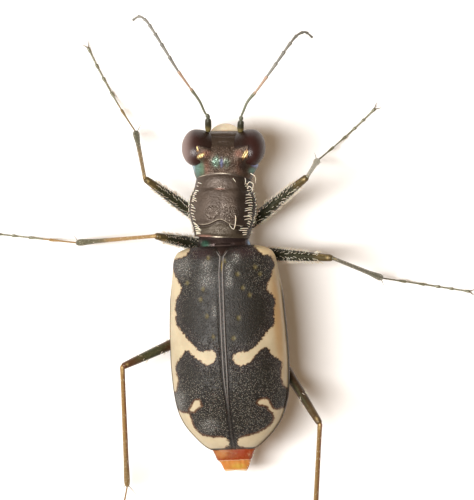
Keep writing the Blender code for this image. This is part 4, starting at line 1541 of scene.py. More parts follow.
@dataclass
class WingCase:
    """One wing case: a thin domed shell whose ivory and charcoal meet along ragged edges."""

    side: Side
    dark: tuple[Station, ...]
    pale_spot: tuple[Station, ...]
    foveae: tuple[Station, ...]
    blooms: tuple[Mark, ...]
    # One for the case on the shaded side: painted shade on its flank, more painted light on its
    # shoulder, and the golden line by the seam.
    amber: float = 0.0
    lean: float = 0.0
    length: float = 8.16
    shell: float = 0.11
    rows: int = 250
    columns: int = 150
    fullness: float = 2.35
    hairline: float = 0.003
    wave_height: float = 0.008
    wave_width: float = 0.9
    hem: float = 0.93
    least: float = 0.05
    marks: tuple[Mark, ...] = (
        Mark("knob", (1.45, 0.55), (0.35, 0.4), 0.05),
        # Where the painted light lies on the shoulders.
        Mark("shoulder", (1.75, 0.2), (0.5, 0.4)),
        Mark("plum", (0.75, 0.25), (0.5, 0.28)),
        Mark("unstained", (1.3, 1.1), (0.5, 0.6)),
        Mark("crowd", (1.5, 1.1), (0.5, 0.7), 0.5),
        Mark("glimmer", (0.03, 0.8), (0.024, 0.2)),
    )
    fovea_depth: float = 0.024
    fovea_reach: Station = (0.07, 0.08)
    fovea_tint_reach: Station = (0.08, 0.1)
    notch_half_width: float = 0.29
    notch_length: float = 0.42
    half_width: Profile = Profile((
        (0.0, 1.2), (0.012, 1.62), (0.03, 1.9), (0.06, 2.04), (0.1, 2.1), (0.27, 2.26),
        (0.47, 2.36), (0.58, 2.38), (0.66, 2.36), (0.735, 2.3), (0.81, 2.15), (0.86, 1.97),
        (0.9, 1.74), (0.95, 1.36), (0.983, 1.02), (0.994, 0.85), (1.0, 0.6),
    ))
    height: Profile = Profile((
        (0.0, 0.84), (0.008, 1.06), (0.02, 1.2), (0.06, 1.42), (0.2, 1.72), (0.45, 1.9),
        (0.7, 1.72), (0.88, 1.2), (0.95, 0.88), (0.98, 0.62), (0.992, 0.42), (1.0, 0.16),
    ))
    trim: Profile = Profile((
        (0.0, 0.0), (0.18, 0.03), (0.37, 0.05), (0.55, 0.09), (0.7, 0.12), (0.8, 0.1), (0.92, 0.08),
        (0.98, 0.02), (1.0, 0.0),
    ))
    drift: Profile = Profile((
        (0.0, 0.0), (0.42, 0.02), (1.2, 0.075), (2.2, 0.075), (5.0, 0.05), (6.8, -0.02),
        (8.16, -0.09),
    ))
    rim: Profile = Profile((
        (0.0, 0.3), (0.12, 0.16), (0.35, 0.0), (0.7, 0.0), (0.9, -0.12), (1.0, -0.25),
    ))
    groove: Profile = Profile(((0.0, 0.0), (3.5, 0.1), (5.0, 0.6), (6.0, 1.0), (8.1, 1.0)))

    def surface(self, t: Numbers, u: Numbers, inset: float = 0.0) -> Numbers:
        """Read the shell.

        Args:
            t: How far along it, from 0 at the shoulder to 1 at the tail.
            u: How far round it, from 0 at the seam to 1 at the outer rim.
            inset: How far below the skin.

        Returns:
            The places, in the hind body's frame.
        """
        y = self.length * t
        seam = self.hairline + self.inner(y)
        wide = self.half_width.at(t) - self.lean * self.trim.at(t)
        wide = np.maximum(wide - inset, seam + self.least)
        tall = np.maximum(self.height.at(t) - inset, self.least)
        angle = u * math.pi / 2.0
        power = 2.0 / self.fullness
        x = seam + (wide - seam) * np.sin(angle) ** power
        z = self.rim.at(t) + tall * held(np.cos(angle)) ** power
        return stacked(self.side.value * x, y, z)

    def inner(self, y: Numbers) -> Numbers:
        """Return how far the inner edge stands from the middle, beside the scutellum's notch."""
        return self.notch_half_width * held(1.0 - y / self.notch_length)

    def relief(self, x: Numbers, y: Numbers, u: Numbers) -> Numbers:
        """Shape the skin: the ridge and groove by the seam, the hem, the shoulder and the pits.

        Args:
            x: The distance from the seam.
            y: The distance from the front edge.
            u: How far round the shell.

        Returns:
            How far the skin stands out.
        """
        crest, trough = self.seam_lines(x, y)
        ridge = 0.016 * crest * ramp(y, 0.1, 0.4) - 0.025 * trough * ramp(y, 0.8, 4.0)
        step = 0.05 * ramp(u, self.hem, self.hem + 0.025) * ramp(y, 1.0, 2.2)
        hem = step - 0.02 * hump(u, 0.9, 0.02)
        pits = self.fovea_depth * self.dots(self.foveae, self.fovea_reach, x, y)
        return ridge + hem + marked(self.marks, x, y)["knob"] - pits

    def seam_lines(self, x: Numbers, y: Numbers) -> tuple[Numbers, Numbers]:
        """Find the pale ridge by the seam and the dark groove beyond, both nearer to it behind.

        Args:
            x: The distance from the seam.
            y: The distance from the front edge.

        Returns:
            The ridge and the groove, each from 0 to 1.
        """
        beside = x - self.inner(y)
        merge = ramp(y, 5.0, 6.6)
        crest = hump(beside, 0.07 - 0.055 * merge, 0.02)
        return crest, hump(beside, 0.14 - 0.065 * merge, 0.05 - 0.015 * merge)

    @staticmethod
    def dots(places: tuple[Station, ...], reach: Station, x: Numbers, y: Numbers) -> Numbers:
        """Return the sum of equal soft spots at several places."""
        return sum(spot(x, y, place, reach) for place in places)

    def masks(self, x: Numbers, y: Numbers, u: Numbers) -> Values:
        """Work out where each colour and the granules lie.

        Args:
            x: The distance from the seam.
            y: The distance from the front edge.
            u: How far round the shell.

        Returns:
            The named values, each from 0 to 1, apart from "dark", which is in millimetres.
        """
        dark = depth_inside(x, y, rounded_outline(self.dark))
        pale = depth_inside(x, y, rounded_outline(self.pale_spot))
        dark = np.minimum(dark, -pale)
        on_dark = held(dark / 0.05)
        near_edge = on_dark * (1.0 - ramp(dark, 0.15, 0.5))
        marks = marked(self.marks + self.blooms, x, y)
        away = 1.0 - ramp(u, 0.9, 0.98)
        groove = self.groove.at(y)
        beside = x - self.inner(y)
        crest, trough = self.seam_lines(x, y)
        rear = ramp(y, 4.4, 6.2)
        crowd = held(0.25 + 0.65 * rear + marks["crowd"] + 0.3 * near_edge)
        line = ramp(u, self.hem, self.hem + 0.02) * ramp(y, 1.0, 2.4) + ramp(y, 8.08, 8.12)
        return {
            "dark": dark,
            # Painted light on the shoulders.
            "shoulder": (0.3 + 0.7 * self.amber) * marks["shoulder"],
            # Painted shade on the flank of the shaded side's case.
            "amber": self.amber * spot(u, y, (0.7, 3.0), (0.13, 2.2)) * (dark < 0.0),
            "plum": on_dark * held(
                marks["plum"]
                + 0.3 * near_edge * (1.0 - 0.6 * rear) * (1.0 - marks["unstained"])),
            "rust": (0.3 + 0.7 * rear) * hump(dark, 0.0, 0.045) * ramp(x, 0.2, 0.4),
            # Painted sheen on the dark cuticle.
            "bloom": on_dark * held(marks["bloom"]),
            # Where the painted glints lie on the granules.
            "beads": on_dark * away * (1.0 - crest) * crowd,
            "fovea": on_dark * held(self.dots(self.foveae, self.fovea_tint_reach, x, y)),
            "ridge": np.maximum(crest, 0.3 * hump(beside, 0.0, 0.06) * (1.0 - groove))
            * (1.0 - 0.75 * ramp(y, 4.8, 7.0)) * ramp(y, 0.12, 0.34),
            "seam": held(
                hump(beside, 0.0, 0.009) * (1.0 - 0.7 * ramp(y, 5.0, 6.6)) + groove * trough
                + 0.1 * hump(beside, 0.14, 0.03)),
            # Painted shadow along the outer edge, wider on the right case.
            "hem": held(line),
            "rough": 0.04 + 0.96 * on_dark * away * (1.0 - 0.8 * crest) * crowd,
            "glimmer": self.amber * marks["glimmer"],
        }

    def build(self) -> Piece:
        """Build the shell with its outer skin and its plain inner one.

        Returns:
            The wing case.
        """
        s = shares(self.rows)
        t = (0.4 * (0.5 - 0.5 * np.cos(math.pi * s)) + 0.6 * s)[:, None]
        u = shares(self.columns)[None, :] ** 1.5
        skin = self.surface(t, u)
        lining = self.surface(t, u[:, ::-1], self.shell)
        x, y = np.abs(skin[..., 0]), skin[..., 1]
        wide_u = np.broadcast_to(u, x.shape)
        waves = self.wave_height * ripple(skin, self.wave_width)
        skin = raised(skin, self.relief(x, y, wide_u) + waves, closed=False)
        skin[..., 0] = self.side.value * np.maximum(np.abs(skin[..., 0]), self.hairline)
        skin[..., 1] = np.clip(skin[..., 1], -0.03, self.length + 0.02)
        for layer in (skin, lining):
            layer[..., 0] += self.drift.at(layer[..., 1]) * hump(layer[..., 0], 0.0, 0.45)
        both = {key: np.concatenate(
            (value, np.full(value.shape, -1.0 if key == "dark" else 0.0)), axis=1
        ) for key, value in self.masks(x, y, wide_u).items()}
        draft = Draft().add(np.concatenate((skin, lining), axis=1), both, capped=False)
        count = self.columns
        for base in (0, (self.rows - 1) * 2 * count):
            for k in range(count - 1):
                far = base + 2 * count - 1 - k
                draft.caps.append([base + k, base + k + 1, far - 1, far])
        return draft.build(f"wing_case_{self.side.label}", HIND)


@dataclass
class Underbody:
    """Everything below the wing cases: the hind thorax, the abdomen's rings and the bare tail."""

    front: float = -0.55
    rear: float = 7.45
    shell: float = 0.16
    depth: float = 0.8
    fullness: float = 2.3
    rows: int = 260
    columns: int = 130
    ring_places: tuple[float, ...] = (3.3, 3.95, 4.7, 5.45, 6.2, 6.9)
    neck: Profile = Profile(((-0.55, 0.5), (-0.3, 0.56), (0.0, 0.66), (0.35, 0.86), (0.9, 1.0),
                             (6.6, 1.0), (7.2, 0.9), (7.45, 0.78)))
    rise: Profile = Profile(((-0.55, 0.8), (-0.3, 0.95), (-0.08, 1.12), (0.1, 1.0), (0.4, 0.93)))
    shield: Profile = Profile(((-0.16, 1.02), (0.0, 1.2), (0.1, 1.38), (0.25, 1.52), (0.4, 1.6)))
    hull_colours: tuple[Mark, ...] = (
        Mark("teal", (0.72, -0.12), (0.18, 0.14), 1.2),
        Mark("blue", (-1.1, -0.12), (0.12, 0.12)),
        Mark("rim", (0.0, -0.07), (0.25, 0.018), 0.3),
        Mark("violet", (0.9, 5.2), (0.6, 1.4), 0.6, paired=True),
    )
    tail_front: float = 7.0
    tail_rear: float = 9.03
    tail_half_width: Profile = Profile((
        (7.0, 0.84), (7.9, 0.88), (8.12, 0.87), (8.36, 0.78), (8.58, 0.68), (8.62, 0.64),
        (8.82, 0.55), (8.95, 0.48), (9.03, 0.42),
    ))
    tail_half_depth: Profile = Profile((
        (7.0, 0.28), (8.0, 0.3), (8.5, 0.26), (8.6, 0.22), (8.85, 0.17), (9.03, 0.1),
    ))
    tail_axis: Profile = Profile(((7.0, -0.74), (8.2, -0.8), (8.97, -0.93)))
    tail_fullness: float = 2.6
    tail_lobe_width: float = 0.8
    tail_fold_width: float = 0.21
    tail_wave_width: float = 0.3
    tail_wave_height: float = 0.012
    tail_rows: int = 110
    tail_columns: int = 96
    tail_colours: tuple[Mark, ...] = (
        Mark("deep", (-0.45, 8.3), (0.42, 0.3)),
        Mark("yellow", (-0.1, 8.86), (0.3, 0.12)),
        Mark("tawny", (0.5, 8.3), (0.26, 0.2), 1.2),
        Mark("pale", (0.1, 8.25), (0.1, 0.16), 0.12),
        Mark("pale", (-0.62, 8.4), (0.08, 0.14), 0.3),
    )
    fringe_hairs: int = 26
    scutellum_points: int = 51

    def hull(self, case: WingCase) -> Piece:
        """Build the thorax and abdomen as one skin with ring seams, tucked into the cases.

        Args:
            case: A wing case, whose width and height the hull fits below.

        Returns:
            The hull.
        """
        y = np.linspace(self.front, self.rear, self.rows)[:, None]
        angle = turns(self.columns)[None, :]
        t = np.clip(y, 0.0, None) / case.length
        neck = self.neck.at(y)
        rim = case.rim.at(t)
        wide = (case.half_width.at(t) - self.shell) * neck
        wide = np.where(y < 0.3, np.maximum(wide, 1.0 + 0.3 * held(y + 0.25)), wide)
        up = (case.height.at(t) - self.shell) * self.rise.at(y)
        x, z = oval(angle, wide, up, (self.depth + rim) * neck, self.fullness)
        z = z + rim
        y = np.broadcast_to(y, x.shape)
        lower = held((0.2 - z) / 0.3)
        seams = sum(hump(y, place, 0.03) for place in self.ring_places)
        plates = sum(hump(y, place + 0.06, 0.05) for place in self.ring_places)
        keel = 0.05 * hump(x, 0.0, 0.12) * held((3.2 - y) / 0.3) * hump(y, 1.5, 1.2)
        relief = lower * (-0.05 * seams + 0.02 * plates - keel)
        relief = relief + 0.006 * np.sin(math.tau * x / 0.1) * (1.0 - ramp(y, 0.0, 0.1))
        marks = marked(self.hull_colours, x, y)
        values = {
            "teal": held(marks["teal"]) + 0.5 * lower * hump(np.abs(x), 1.4, 0.5),
            "violet": lower * marks["violet"],
            "blue": marks["blue"],
            "dusk": (y < 0.6) * held(z + 0.4),
            "rim": 0.4 * lower * held(plates) + marks["rim"],
        }
        return Draft().add(raised(stacked(x, y, z), relief), values).build("underbody_hull", HIND)

    def tail(self) -> Piece:
        """Build the bare end of the abdomen, two rings of clear orange with a lobed edge.

        Returns:
            The tail.
        """
        y = np.linspace(self.tail_front, self.tail_rear, self.tail_rows)[:, None]
        half = self.tail_half_depth.at(y)
        angle = turns(self.tail_columns)[None, :]
        x, z = oval(angle, self.tail_half_width.at(y), half, half, self.tail_fullness)
        z = z + self.tail_axis.at(y)
        y = y - 0.022 * np.cos(math.tau * x / self.tail_lobe_width) * ramp(y, 8.75, 9.0)
        points = stacked(x - 0.05 * ramp(y, 8.4, 8.95), y, z)
        folds = np.sin(math.tau * x / self.tail_fold_width) * hump(y, 8.7, 0.2)
        points = raised(points, self.tail_wave_height * folds)
        points = raised(points, self.tail_wave_height * ripple(points, self.tail_wave_width))
        marks = marked(self.tail_colours, x, y)
        values = {
            "deep": held(marks["deep"] + 0.5 * hump(y, 8.56, 0.03)),
            "clear": ramp(y, 8.6, 8.66),
            "yellow": marks["yellow"],
            "tawny": held(marks["tawny"]),
            "pale": held(0.9 * ramp(y, 8.94, 9.02) + marks["pale"]),
            "rim": hump(y, 8.61, 0.015),
        }
        return Draft().add(points, values).build("tail_rings", HIND)

    def fringe(self, bristles: Bristles, rng: np.random.Generator) -> None:
        """Set the few pale hairs that stand along the bare tail's sides.

        Args:
            bristles: The hairs' collector.
            rng: The source of small differences.
        """
        count = self.fringe_hairs
        y = rng.uniform(8.2, 8.95, count)
        side = np.where(np.arange(count) % 3 == 0, 1.0, -1.0)
        out = np.stack((side, np.full(count, 0.1), np.full(count, 0.15)), axis=1)
        root = np.stack((side * (self.tail_half_width.at(y) - 0.02) - 0.05 * ramp(y, 8.4, 8.95), y,
                         self.tail_axis.at(y) + rng.uniform(0.0, 0.12, count)), axis=1)
        way = HIND.turned(out + rng.normal(0.0, 0.2, (count, 3)))
        bristles.add(
            HIND.to_world(root), way, np.zeros((count, 3)),
            rng.uniform(0.08, 0.18, count), 0.01,
            np.stack((0.5 + 0.3 * root[:, 0], 0.1 * (y - 8.0)), axis=1),
        )

    def scutellum(self) -> Piece:
        """Build the small dark shield between the wing cases, ridged along its two edges.

        Returns:
            The shield.
        """
        across = np.linspace(-1.0, 1.0, self.scutellum_points)[None, :]
        along = np.linspace(-0.16, 0.4, self.scutellum_points)[:, None]
        x = across * (0.04 + 0.29 * held(1.0 - (along + 0.04) / 0.42))
        dome = self.shield.at(along) - 0.05 * across ** 2
        ridge = hump(np.abs(across), 0.86, 0.14) * ramp(along, 0.1, 0.3)
        upper, lower = (stacked(x, along, z) for z in (dome + 0.035 * ridge, dome - 0.25))
        ring = np.concatenate((upper, lower[:, ::-1]), axis=1)
        pale = ridge + 0.5 * hump(along, -0.02, 0.025)
        rim = np.concatenate((pale, np.zeros_like(pale)), axis=1)
        return Draft().add(ring, {"rim": rim, "dusk": 1.0}).build("scutellum_plate", HIND)


@dataclass(frozen=True)
class LegPose:
    """Where one leg's joints stand, how far its thigh sags and its foot bows, and its hues."""

    seat: Point
    hip: Point
    knee: Point
    ankle: Point
    toe: Point
    sag: float
    tan: float = 0.0
    smooth: float = 0.0
    olive: float = 0.0
    pallor: float = 0.0
    bow: float = 0.0


@dataclass
class Leg:
    """One leg: coxa, thigh, shin, five-jointed foot, with its spurs and claws."""

    name: str
    pose: LegPose
    column: int
    thigh_radii: Profile = Profile((
        (0.0, 0.16), (0.1, 0.22), (0.3, 0.25), (0.55, 0.22), (0.8, 0.17), (0.95, 0.145),
        (0.985, 0.13), (1.0, 0.085),
    ))
    smooth_thigh: float = 0.9
    smooth_shin: Profile = Profile(((0.0, 1.25), (0.6, 1.2), (0.85, 1.0), (1.0, 0.85)))
    shin_radii: Profile = Profile((
        (0.0, 0.05), (0.02, 0.08), (0.1, 0.076), (0.5, 0.084), (0.75, 0.095), (0.88, 0.125),
        (0.95, 0.138), (0.985, 0.115), (1.0, 0.06),
    ))
    foot_split: tuple[float, ...] = (0.28, 0.21, 0.17, 0.15, 0.19)
    foot_shape: Profile = Profile((
        (0.0, 0.026), (0.1, 0.03), (0.6, 0.034), (0.86, 0.058), (0.95, 0.06), (1.0, 0.03),
    ))
    foot_height: float = 0.065
    landing: float = 0.62
    coxa_radii: Profile = Profile(((0.0, 0.3), (0.5, 0.36), (0.8, 0.3), (1.0, 0.16)))
    claw_length: float = 0.3
    claw_spread: float = 28.0
    spur_length: float = 0.28
    thigh_rows: tuple[float, ...] = (-2.6, -1.9, -1.5, -1.15, -0.5, 0.45, 1.1, 1.45, 1.9, 2.5)
    shin_rows: tuple[float, ...] = (-2.2, -1.4, -0.5, 0.5, 1.4, 2.2)
    columns: int = 18
    rings: int = 60
    foot_rings: int = 120
    coxa_rings: int = 30
    ripple_height: float = 0.004
    ripple_width: float = 0.2
    spur_radius: float = 0.02
    claw_radius: float = 0.026
    point_rings: int = 10
    point_sides: int = 8
    parts: tuple[str, ...] = ("thigh", "shin", "foot")

    def corners(self) -> tuple[Numbers, ...]:
        """Return the joints as arrays: seat, hip, knee, ankle and toe."""
        pose = self.pose
        return tuple(map(np.array, (pose.seat, pose.hip, pose.knee, pose.ankle, pose.toe)))

    def limbs(self) -> dict[str, Limb]:
        """Lay out the leg's thigh, shin and foot, which overlap at their joints.

        Returns:
            The three limbs by name, in order from the hip.
        """
        _, hip, knee, ankle, toe = self.corners()
        share = shares(self.rings)
        s = share[:, None]
        bend = (hip + knee) / 2.0 - np.array((0.0, 0.0, self.pose.sag))
        thigh = hip * (1 - s) ** 2 + bend * 2 * s * (1 - s) + knee * s ** 2
        shin = (knee - (ankle - knee) * 0.012) * (1 - s) + ankle * s
        along = unit(toe - ankle)
        aside = np.array((-along[1], along[0], 0.0))
        foot = ankle * (1 - s) + toe * s + aside * self.pose.bow * 4.0 * s * (1 - s)
        fall = held(1.0 - share / self.landing)
        foot[:, 2] = self.foot_height + (ankle[2] - self.foot_height) * fall ** 1.5
        place = shares(self.foot_rings)
        phase = segmented(np.cumsum((0.0,) + self.foot_split), place)[1]
        slim = 1.0 - self.pose.smooth * (1.0 - self.smooth_thigh) * (1.0 - ramp(share, 0.5, 0.85))
        stout = 1.0 + self.pose.smooth * (self.smooth_shin.at(share) - 1.0)
        return {
            "thigh": Limb(thigh, self.thigh_radii.at(share) * slim),
            "shin": Limb(shin, self.shin_radii.at(share) * stout),
            "foot": Limb(resampled(foot, place), self.foot_shape.at(phase)),
        }

    def coxa(self) -> Limb:
        """Lay out the stout root joint that leads from below the body to the thigh.

        Returns:
            The root joint.
        """
        seat, hip, knee = self.corners()[:3]
        outward = unit(knee - hip) * 0.12
        below = np.array((seat[0], seat[1], hip[2] + 0.05))
        path = smooth_route((seat, below, hip + outward), self.coxa_rings)
        radii = self.coxa_radii.at(shares(self.coxa_rings))
        return Limb(path, radii, (0.2, 1.0, 0.1))

    def build(self) -> Piece:
        """Build the leg's whole skin from hip to toe.

        Returns:
            The leg.
        """
        draft = Draft()
        for part, limb in self.limbs().items():
            rings = limb.rings(self.columns)
            swell = self.ripple_height * ripple(rings, self.ripple_width)
            draft.add(rings + stacked(0.0, 0.0, swell), self.masks(part, len(rings)))
        return draft.add(self.coxa().rings(2 * self.columns), {"thigh": 1.0}).build(
            f"leg_{self.name}_skin")

    def masks(self, part: str, rings: int) -> Values:
        """Work out where each colour lies on one limb.

        Args:
            part: "thigh", "shin" or "foot".
            rings: How many rings it has.

        Returns:
            The named values, each from 0 to 1.
        """
        pose, smooth = self.pose, self.pose.smooth
        thigh, shin, foot = (part == name for name in self.parts)
        turn = turns(self.columns, 0.0)[None, :]
        share = shares(rings)[:, None] + 0.0 * turn
        back = held(np.cos(turn)) ** 2
        inner = held(-1.6 * np.sin(turn))
        pale_band = pose.olive * hump(share, 0.7, 0.17)
        return {
            "thigh": thigh * (1.0 - ramp(share, 0.72, 0.9)),
            "brown": thigh * smooth * (0.35 + 0.65 * pose.olive) * (1.0 - pale_band),
            "knee": thigh * (1.0 - 0.6 * smooth) * ramp(share, 0.72, 0.85) * (1.0 - 0.3 * back),
            "sheen": thigh * ramp(share, 0.1, 0.3) * held(
                0.35 * (1.0 - smooth) * back
                + smooth * hump(turn, 0.3, 0.22) * (1.0 - ramp(share, 0.8, 0.9)) + pale_band),
            "foot": foot * held(0.25 + 2.5 * share),
            "tan": pose.tan * (shin * (1.0 - 0.7 * (1.0 - smooth) * ramp(share, 0.5, 0.75))
                               + foot * (share < 0.34)),
            "rufous": smooth * shin * inner * (1.0 - ramp(share, 0.8, 0.95)),
            "green": shin * ramp(share, 0.45, 0.9) * (1.0 - 0.6 * smooth),
            "pallor": pose.pallor * shin,
            # Painted highlight at the knee, on the limb's back.
            "gold": thigh * back ** 6 * hump(share, 0.965, 0.015)
            + 0.5 * (1.0 - smooth) * thigh * hump(turn, 5.6, 0.25) * hump(share, 0.88, 0.07)
            + 0.8 * shin * back ** 4 * hump(share, 0.035, 0.03),
            "bloom": shin * (0.14 + 0.12 * ramp(share, 0.5, 0.8)),
        }

    def points(self) -> Piece:
        """Build the two shin spurs and the two claws.

        Returns:
            The spurs and claws in one piece.
        """
        draft = Draft()
        knee, ankle, toe = self.corners()[2:]
        ahead = unit(np.array((toe[0] - ankle[0], toe[1] - ankle[1], 0.0)))
        aside = np.cross((0.0, 0.0, 1.0), ahead)
        shin_way = unit(ankle - knee)
        base = ankle - shin_way * 0.1
        root = np.array((toe[0], toe[1], self.foot_height)) - ahead * 0.05
        s = shares(self.point_rings)[:, None]
        arch = stacked(0.0, 0.0, 0.08 * np.sin(math.pi * s[:, 0] * 0.9) - 0.05 * s[:, 0])
        inward = -np.sign(ankle[0]) * np.sign(aside[0] * 0.9 + ahead[0] * 0.35)
        for turn in (-1.0, 1.0):
            way = unit(ahead * 0.35 + aside * turn * 0.9 + shin_way * 0.3)
            reach = self.spur_length * (1.0 + 0.35 * turn * inward) * (1.0 + 0.3 * self.pose.smooth)
            spur = base + way * reach * s + shin_way * 0.06 * s ** 2
            spread = math.radians(turn * self.claw_spread)
            fork = ahead * math.cos(spread) + aside * math.sin(spread)
            claw = root + fork * self.claw_length * s + arch
            for path, radius, taper in (
                (spur, self.spur_radius, 0.85), (claw, self.claw_radius, 0.8),
            ):
                cone = Limb(path, radius * (1.0 - taper * s[:, 0]))
                draft.add(cone.rings(self.point_sides))
        return draft.build(f"leg_{self.name}_claws")

    def hairs(self, bristles: Bristles, rng: np.random.Generator) -> None:
        """Set the white bristles: slanting rows on the thigh, short spines on shin and foot.

        Args:
            bristles: The hairs' collector.
            rng: The source of small differences.
        """
        fur = 1.0 - 0.85 * self.pose.smooth
        plans = (
            ("thigh", int(270 * fur), (0.05, 0.86), 0.25, 0.017, 0.85, self.thigh_rows),
            ("shin", 48, (0.06, 0.97), 0.11, 0.008, 0.6, self.shin_rows),
            ("foot", 60, (0.03, 0.95), 0.08, 0.005, 0.5, self.shin_rows),
        )
        limbs = self.limbs()
        for part, count, (low, high), length, radius, lift, rows in plans:
            place = np.sort(rng.uniform(low, high, count))
            angle = np.array(rows)[np.arange(count) % len(rows)] + rng.normal(0.0, 0.14, count)
            root, out, ahead = limbs[part].skin(place, angle)
            keep = root[:, 2] > 0.06
            lean = rng.normal(0.0, 0.1, (count, 3))
            patch = np.stack((
                (self.column + 0.1 + 0.8 * (angle % math.tau) / math.tau) / len(LEG_POSES),
                0.02 + 0.96 * (place + self.parts.index(part)) / len(self.parts),
            ), axis=1)
            bristles.add(
                root[keep], (ahead + out * lift + lean)[keep], (-out * 0.15)[keep],
                (length * rng.uniform(0.75, 1.2, count))[keep], radius, patch[keep],
            )


@dataclass(frozen=True)
class Lamp:
    """One soft light that faces the body, with its size in millimetres and power in watts."""

    name: str
    place: Point
    size: Station
    power: float
    colour: Point

    def hang(self) -> None:
        """Put the light into the scene, out of the camera's sight."""
        lamp = bpy.data.lights.new(self.name, "AREA")
        lamp.shape = "RECTANGLE"
        lamp.size, lamp.size_y = (side * MM for side in self.size)
        lamp.energy = self.power
        lamp.color = self.colour
        light = add_to_scene(self.name, lamp)
        light.location = Vector(self.place) * MM
        light.rotation_euler = (-light.location).to_track_quat("-Z", "Y").to_euler()
        light.visible_camera = False


@dataclass(frozen=True)
class Studio:
    """The pale floor, the soft light from the animal's left and the camera above."""

    floor_size: float = 900.0
    key: Lamp = Lamp("key", (102.0, 7.0, 264.0), (60.0, 160.0), 1.12, (1.0, 0.985, 0.965))
    fill: Lamp = Lamp("fill", (250.0, 30.0, 100.0), (140.0, 200.0), 0.14, (1.0, 0.98, 0.94))
    room_colour: str = "92785a"
    camera_place: Point = (-0.52, -3.66, 404.0)
    focus_height: float = 4.0
    pixel: float = 0.04
    photo_height: int = 500
    sensor: float = 36.0

    def floor(self) -> None:
        """Lay the floor, a sheet of matt white paper with a faint tooth."""
        paper = Cuticle(
            name="matt_white_paper", ground="f5f5f5", mottle="f8f8f8", mottle_size=3.0,
            roughness=0.85, ior=1.45, grains=(Grain(Relief.WRINKLES, 0.3, 0.002),),
        )
        bm = bmesh.new()
        bmesh.ops.create_grid(bm, x_segments=2, y_segments=2, size=self.floor_size * MM / 2.0)
        mesh = bpy.data.meshes.new("floor")
        bm.to_mesh(mesh)
        bm.free()
        mesh.materials.append(paper.make())
        add_to_scene("floor", mesh)

    def light(self) -> None:
        """Hang a long soft light and a low weak one at the animal's left, in a warm dim room."""
        self.key.hang()
        self.fill.hang()
        room = bpy.data.worlds.new("room")
        room.use_nodes = True
        backdrop = room.node_tree.nodes["Background"]
        backdrop.inputs["Color"].default_value = to_linear(self.room_colour)
        bpy.context.scene.world = room
        bpy.context.scene.view_settings.view_transform = "Standard"

    def camera(self) -> None:
        """Set the camera straight above, so that one photo pixel covers self.pixel of the body."""
        lens = bpy.data.cameras.new("camera")
        lens.sensor_width = self.sensor
        reach = self.camera_place[2] - self.focus_height
        lens.lens = self.sensor * reach / (self.photo_height * self.pixel)
        lens.clip_start, lens.clip_end = 0.01, 10.0
        camera = add_to_scene("camera", lens)
        camera.location = Vector(self.camera_place) * MM
        camera.rotation_euler = (0.0, 0.0, math.pi)
        bpy.context.scene.camera = camera

    def build(self) -> None:
        """Set up the floor, the light and the camera."""
        self.floor()
        self.light()
        self.camera()


LEFT_DARK = (
    (-0.3, -0.5), (1.3, -0.35), (1.31, 0.0), (1.34, 0.2), (1.5, 0.37), (1.97, 0.5), (2.05, 0.65),
    (2.07, 0.82), (1.94, 1.1), (1.78, 1.4), (1.7, 1.6), (1.72, 1.75), (1.82, 1.93), (1.93, 2.1),
    (2.0, 2.4), (1.96, 2.65), (1.98, 2.95), (1.87, 3.18), (1.62, 3.47), (1.45, 3.7),
    (1.12, 4.06), (0.94, 4.15), (0.5, 4.14), (0.37, 4.24), (0.34, 4.4), (0.45, 4.6), (0.69, 4.76),
    (0.89, 4.67), (1.14, 4.5), (1.38, 4.28), (1.58, 4.12), (1.8, 4.37), (2.05, 4.69),
    (2.05, 5.0), (1.98, 5.26), (2.06, 5.6), (2.15, 5.78), (2.6, 5.85), (2.6, 6.45), (2.1, 6.47),
    (1.9, 6.56), (1.63, 6.62), (1.54, 6.82), (1.43, 7.19), (1.16, 7.49), (0.7, 7.61), (0.33, 7.63),
    (0.17, 7.8), (0.16, 7.98), (0.3, 8.1), (0.3, 8.5), (-0.3, 8.5),
)
LEFT_SPOT = (
    (1.635, 6.51), (1.58, 6.42), (1.49, 6.32), (1.44, 6.21), (1.33, 6.1), (1.14, 6.11),
    (1.08, 6.28), (1.04, 6.36), (1.19, 6.43), (1.31, 6.53), (1.4, 6.6), (1.53, 6.59),
)
RIGHT_DARK = (
    (-0.3, -0.5), (1.2, -0.35), (1.2, 0.0), (1.33, 0.19), (1.47, 0.34), (1.64, 0.46), (1.83, 0.47),
    (1.97, 0.65), (2.0, 0.86), (1.92, 1.11), (1.84, 1.36), (1.72, 1.64), (1.71, 1.85),
    (1.89, 2.04), (2.0, 2.29), (1.96, 2.58), (1.92, 3.2), (1.75, 3.38), (1.5, 3.69), (1.24, 4.0),
    (0.95, 4.21), (0.66, 4.23), (0.42, 4.29), (0.34, 4.38), (0.32, 4.55), (0.47, 4.78),
    (0.71, 4.8), (1.04, 4.65), (1.19, 4.41), (1.6, 4.12), (1.81, 4.4), (2.14, 4.71), (2.12, 5.06),
    (2.12, 5.4), (2.19, 5.65), (2.3, 5.78), (2.6, 5.8), (2.6, 6.5), (2.1, 6.54), (1.93, 6.6),
    (1.78, 6.56), (1.69, 6.38), (1.61, 6.2), (1.48, 6.13), (1.3, 6.17), (1.14, 6.28), (1.22, 6.4),
    (1.38, 6.44), (1.54, 6.49), (1.56, 6.6), (1.68, 6.73), (1.74, 6.9), (1.67, 7.1), (1.46, 7.3),
    (1.1, 7.49), (0.75, 7.59), (0.33, 7.68), (0.18, 7.86), (0.21, 8.04), (0.45, 8.14), (0.4, 8.5),
    (-0.3, 8.5),
)
NO_SPOT = ((9.0, 9.0), (9.1, 9.0), (9.05, 9.1))
LEFT_FOVEAE = ((0.55, 0.45), (1.45, 1.42), (0.8, 1.68), (0.92, 2.1), (0.68, 2.77), (0.43, 3.61))
RIGHT_FOVEAE = (
    (0.12, 0.6), (0.62, 1.14), (0.8, 1.7), (1.06, 1.99), (0.6, 2.89), (1.3, 0.89), (1.48, 1.17),
    (0.39, 3.7),
)
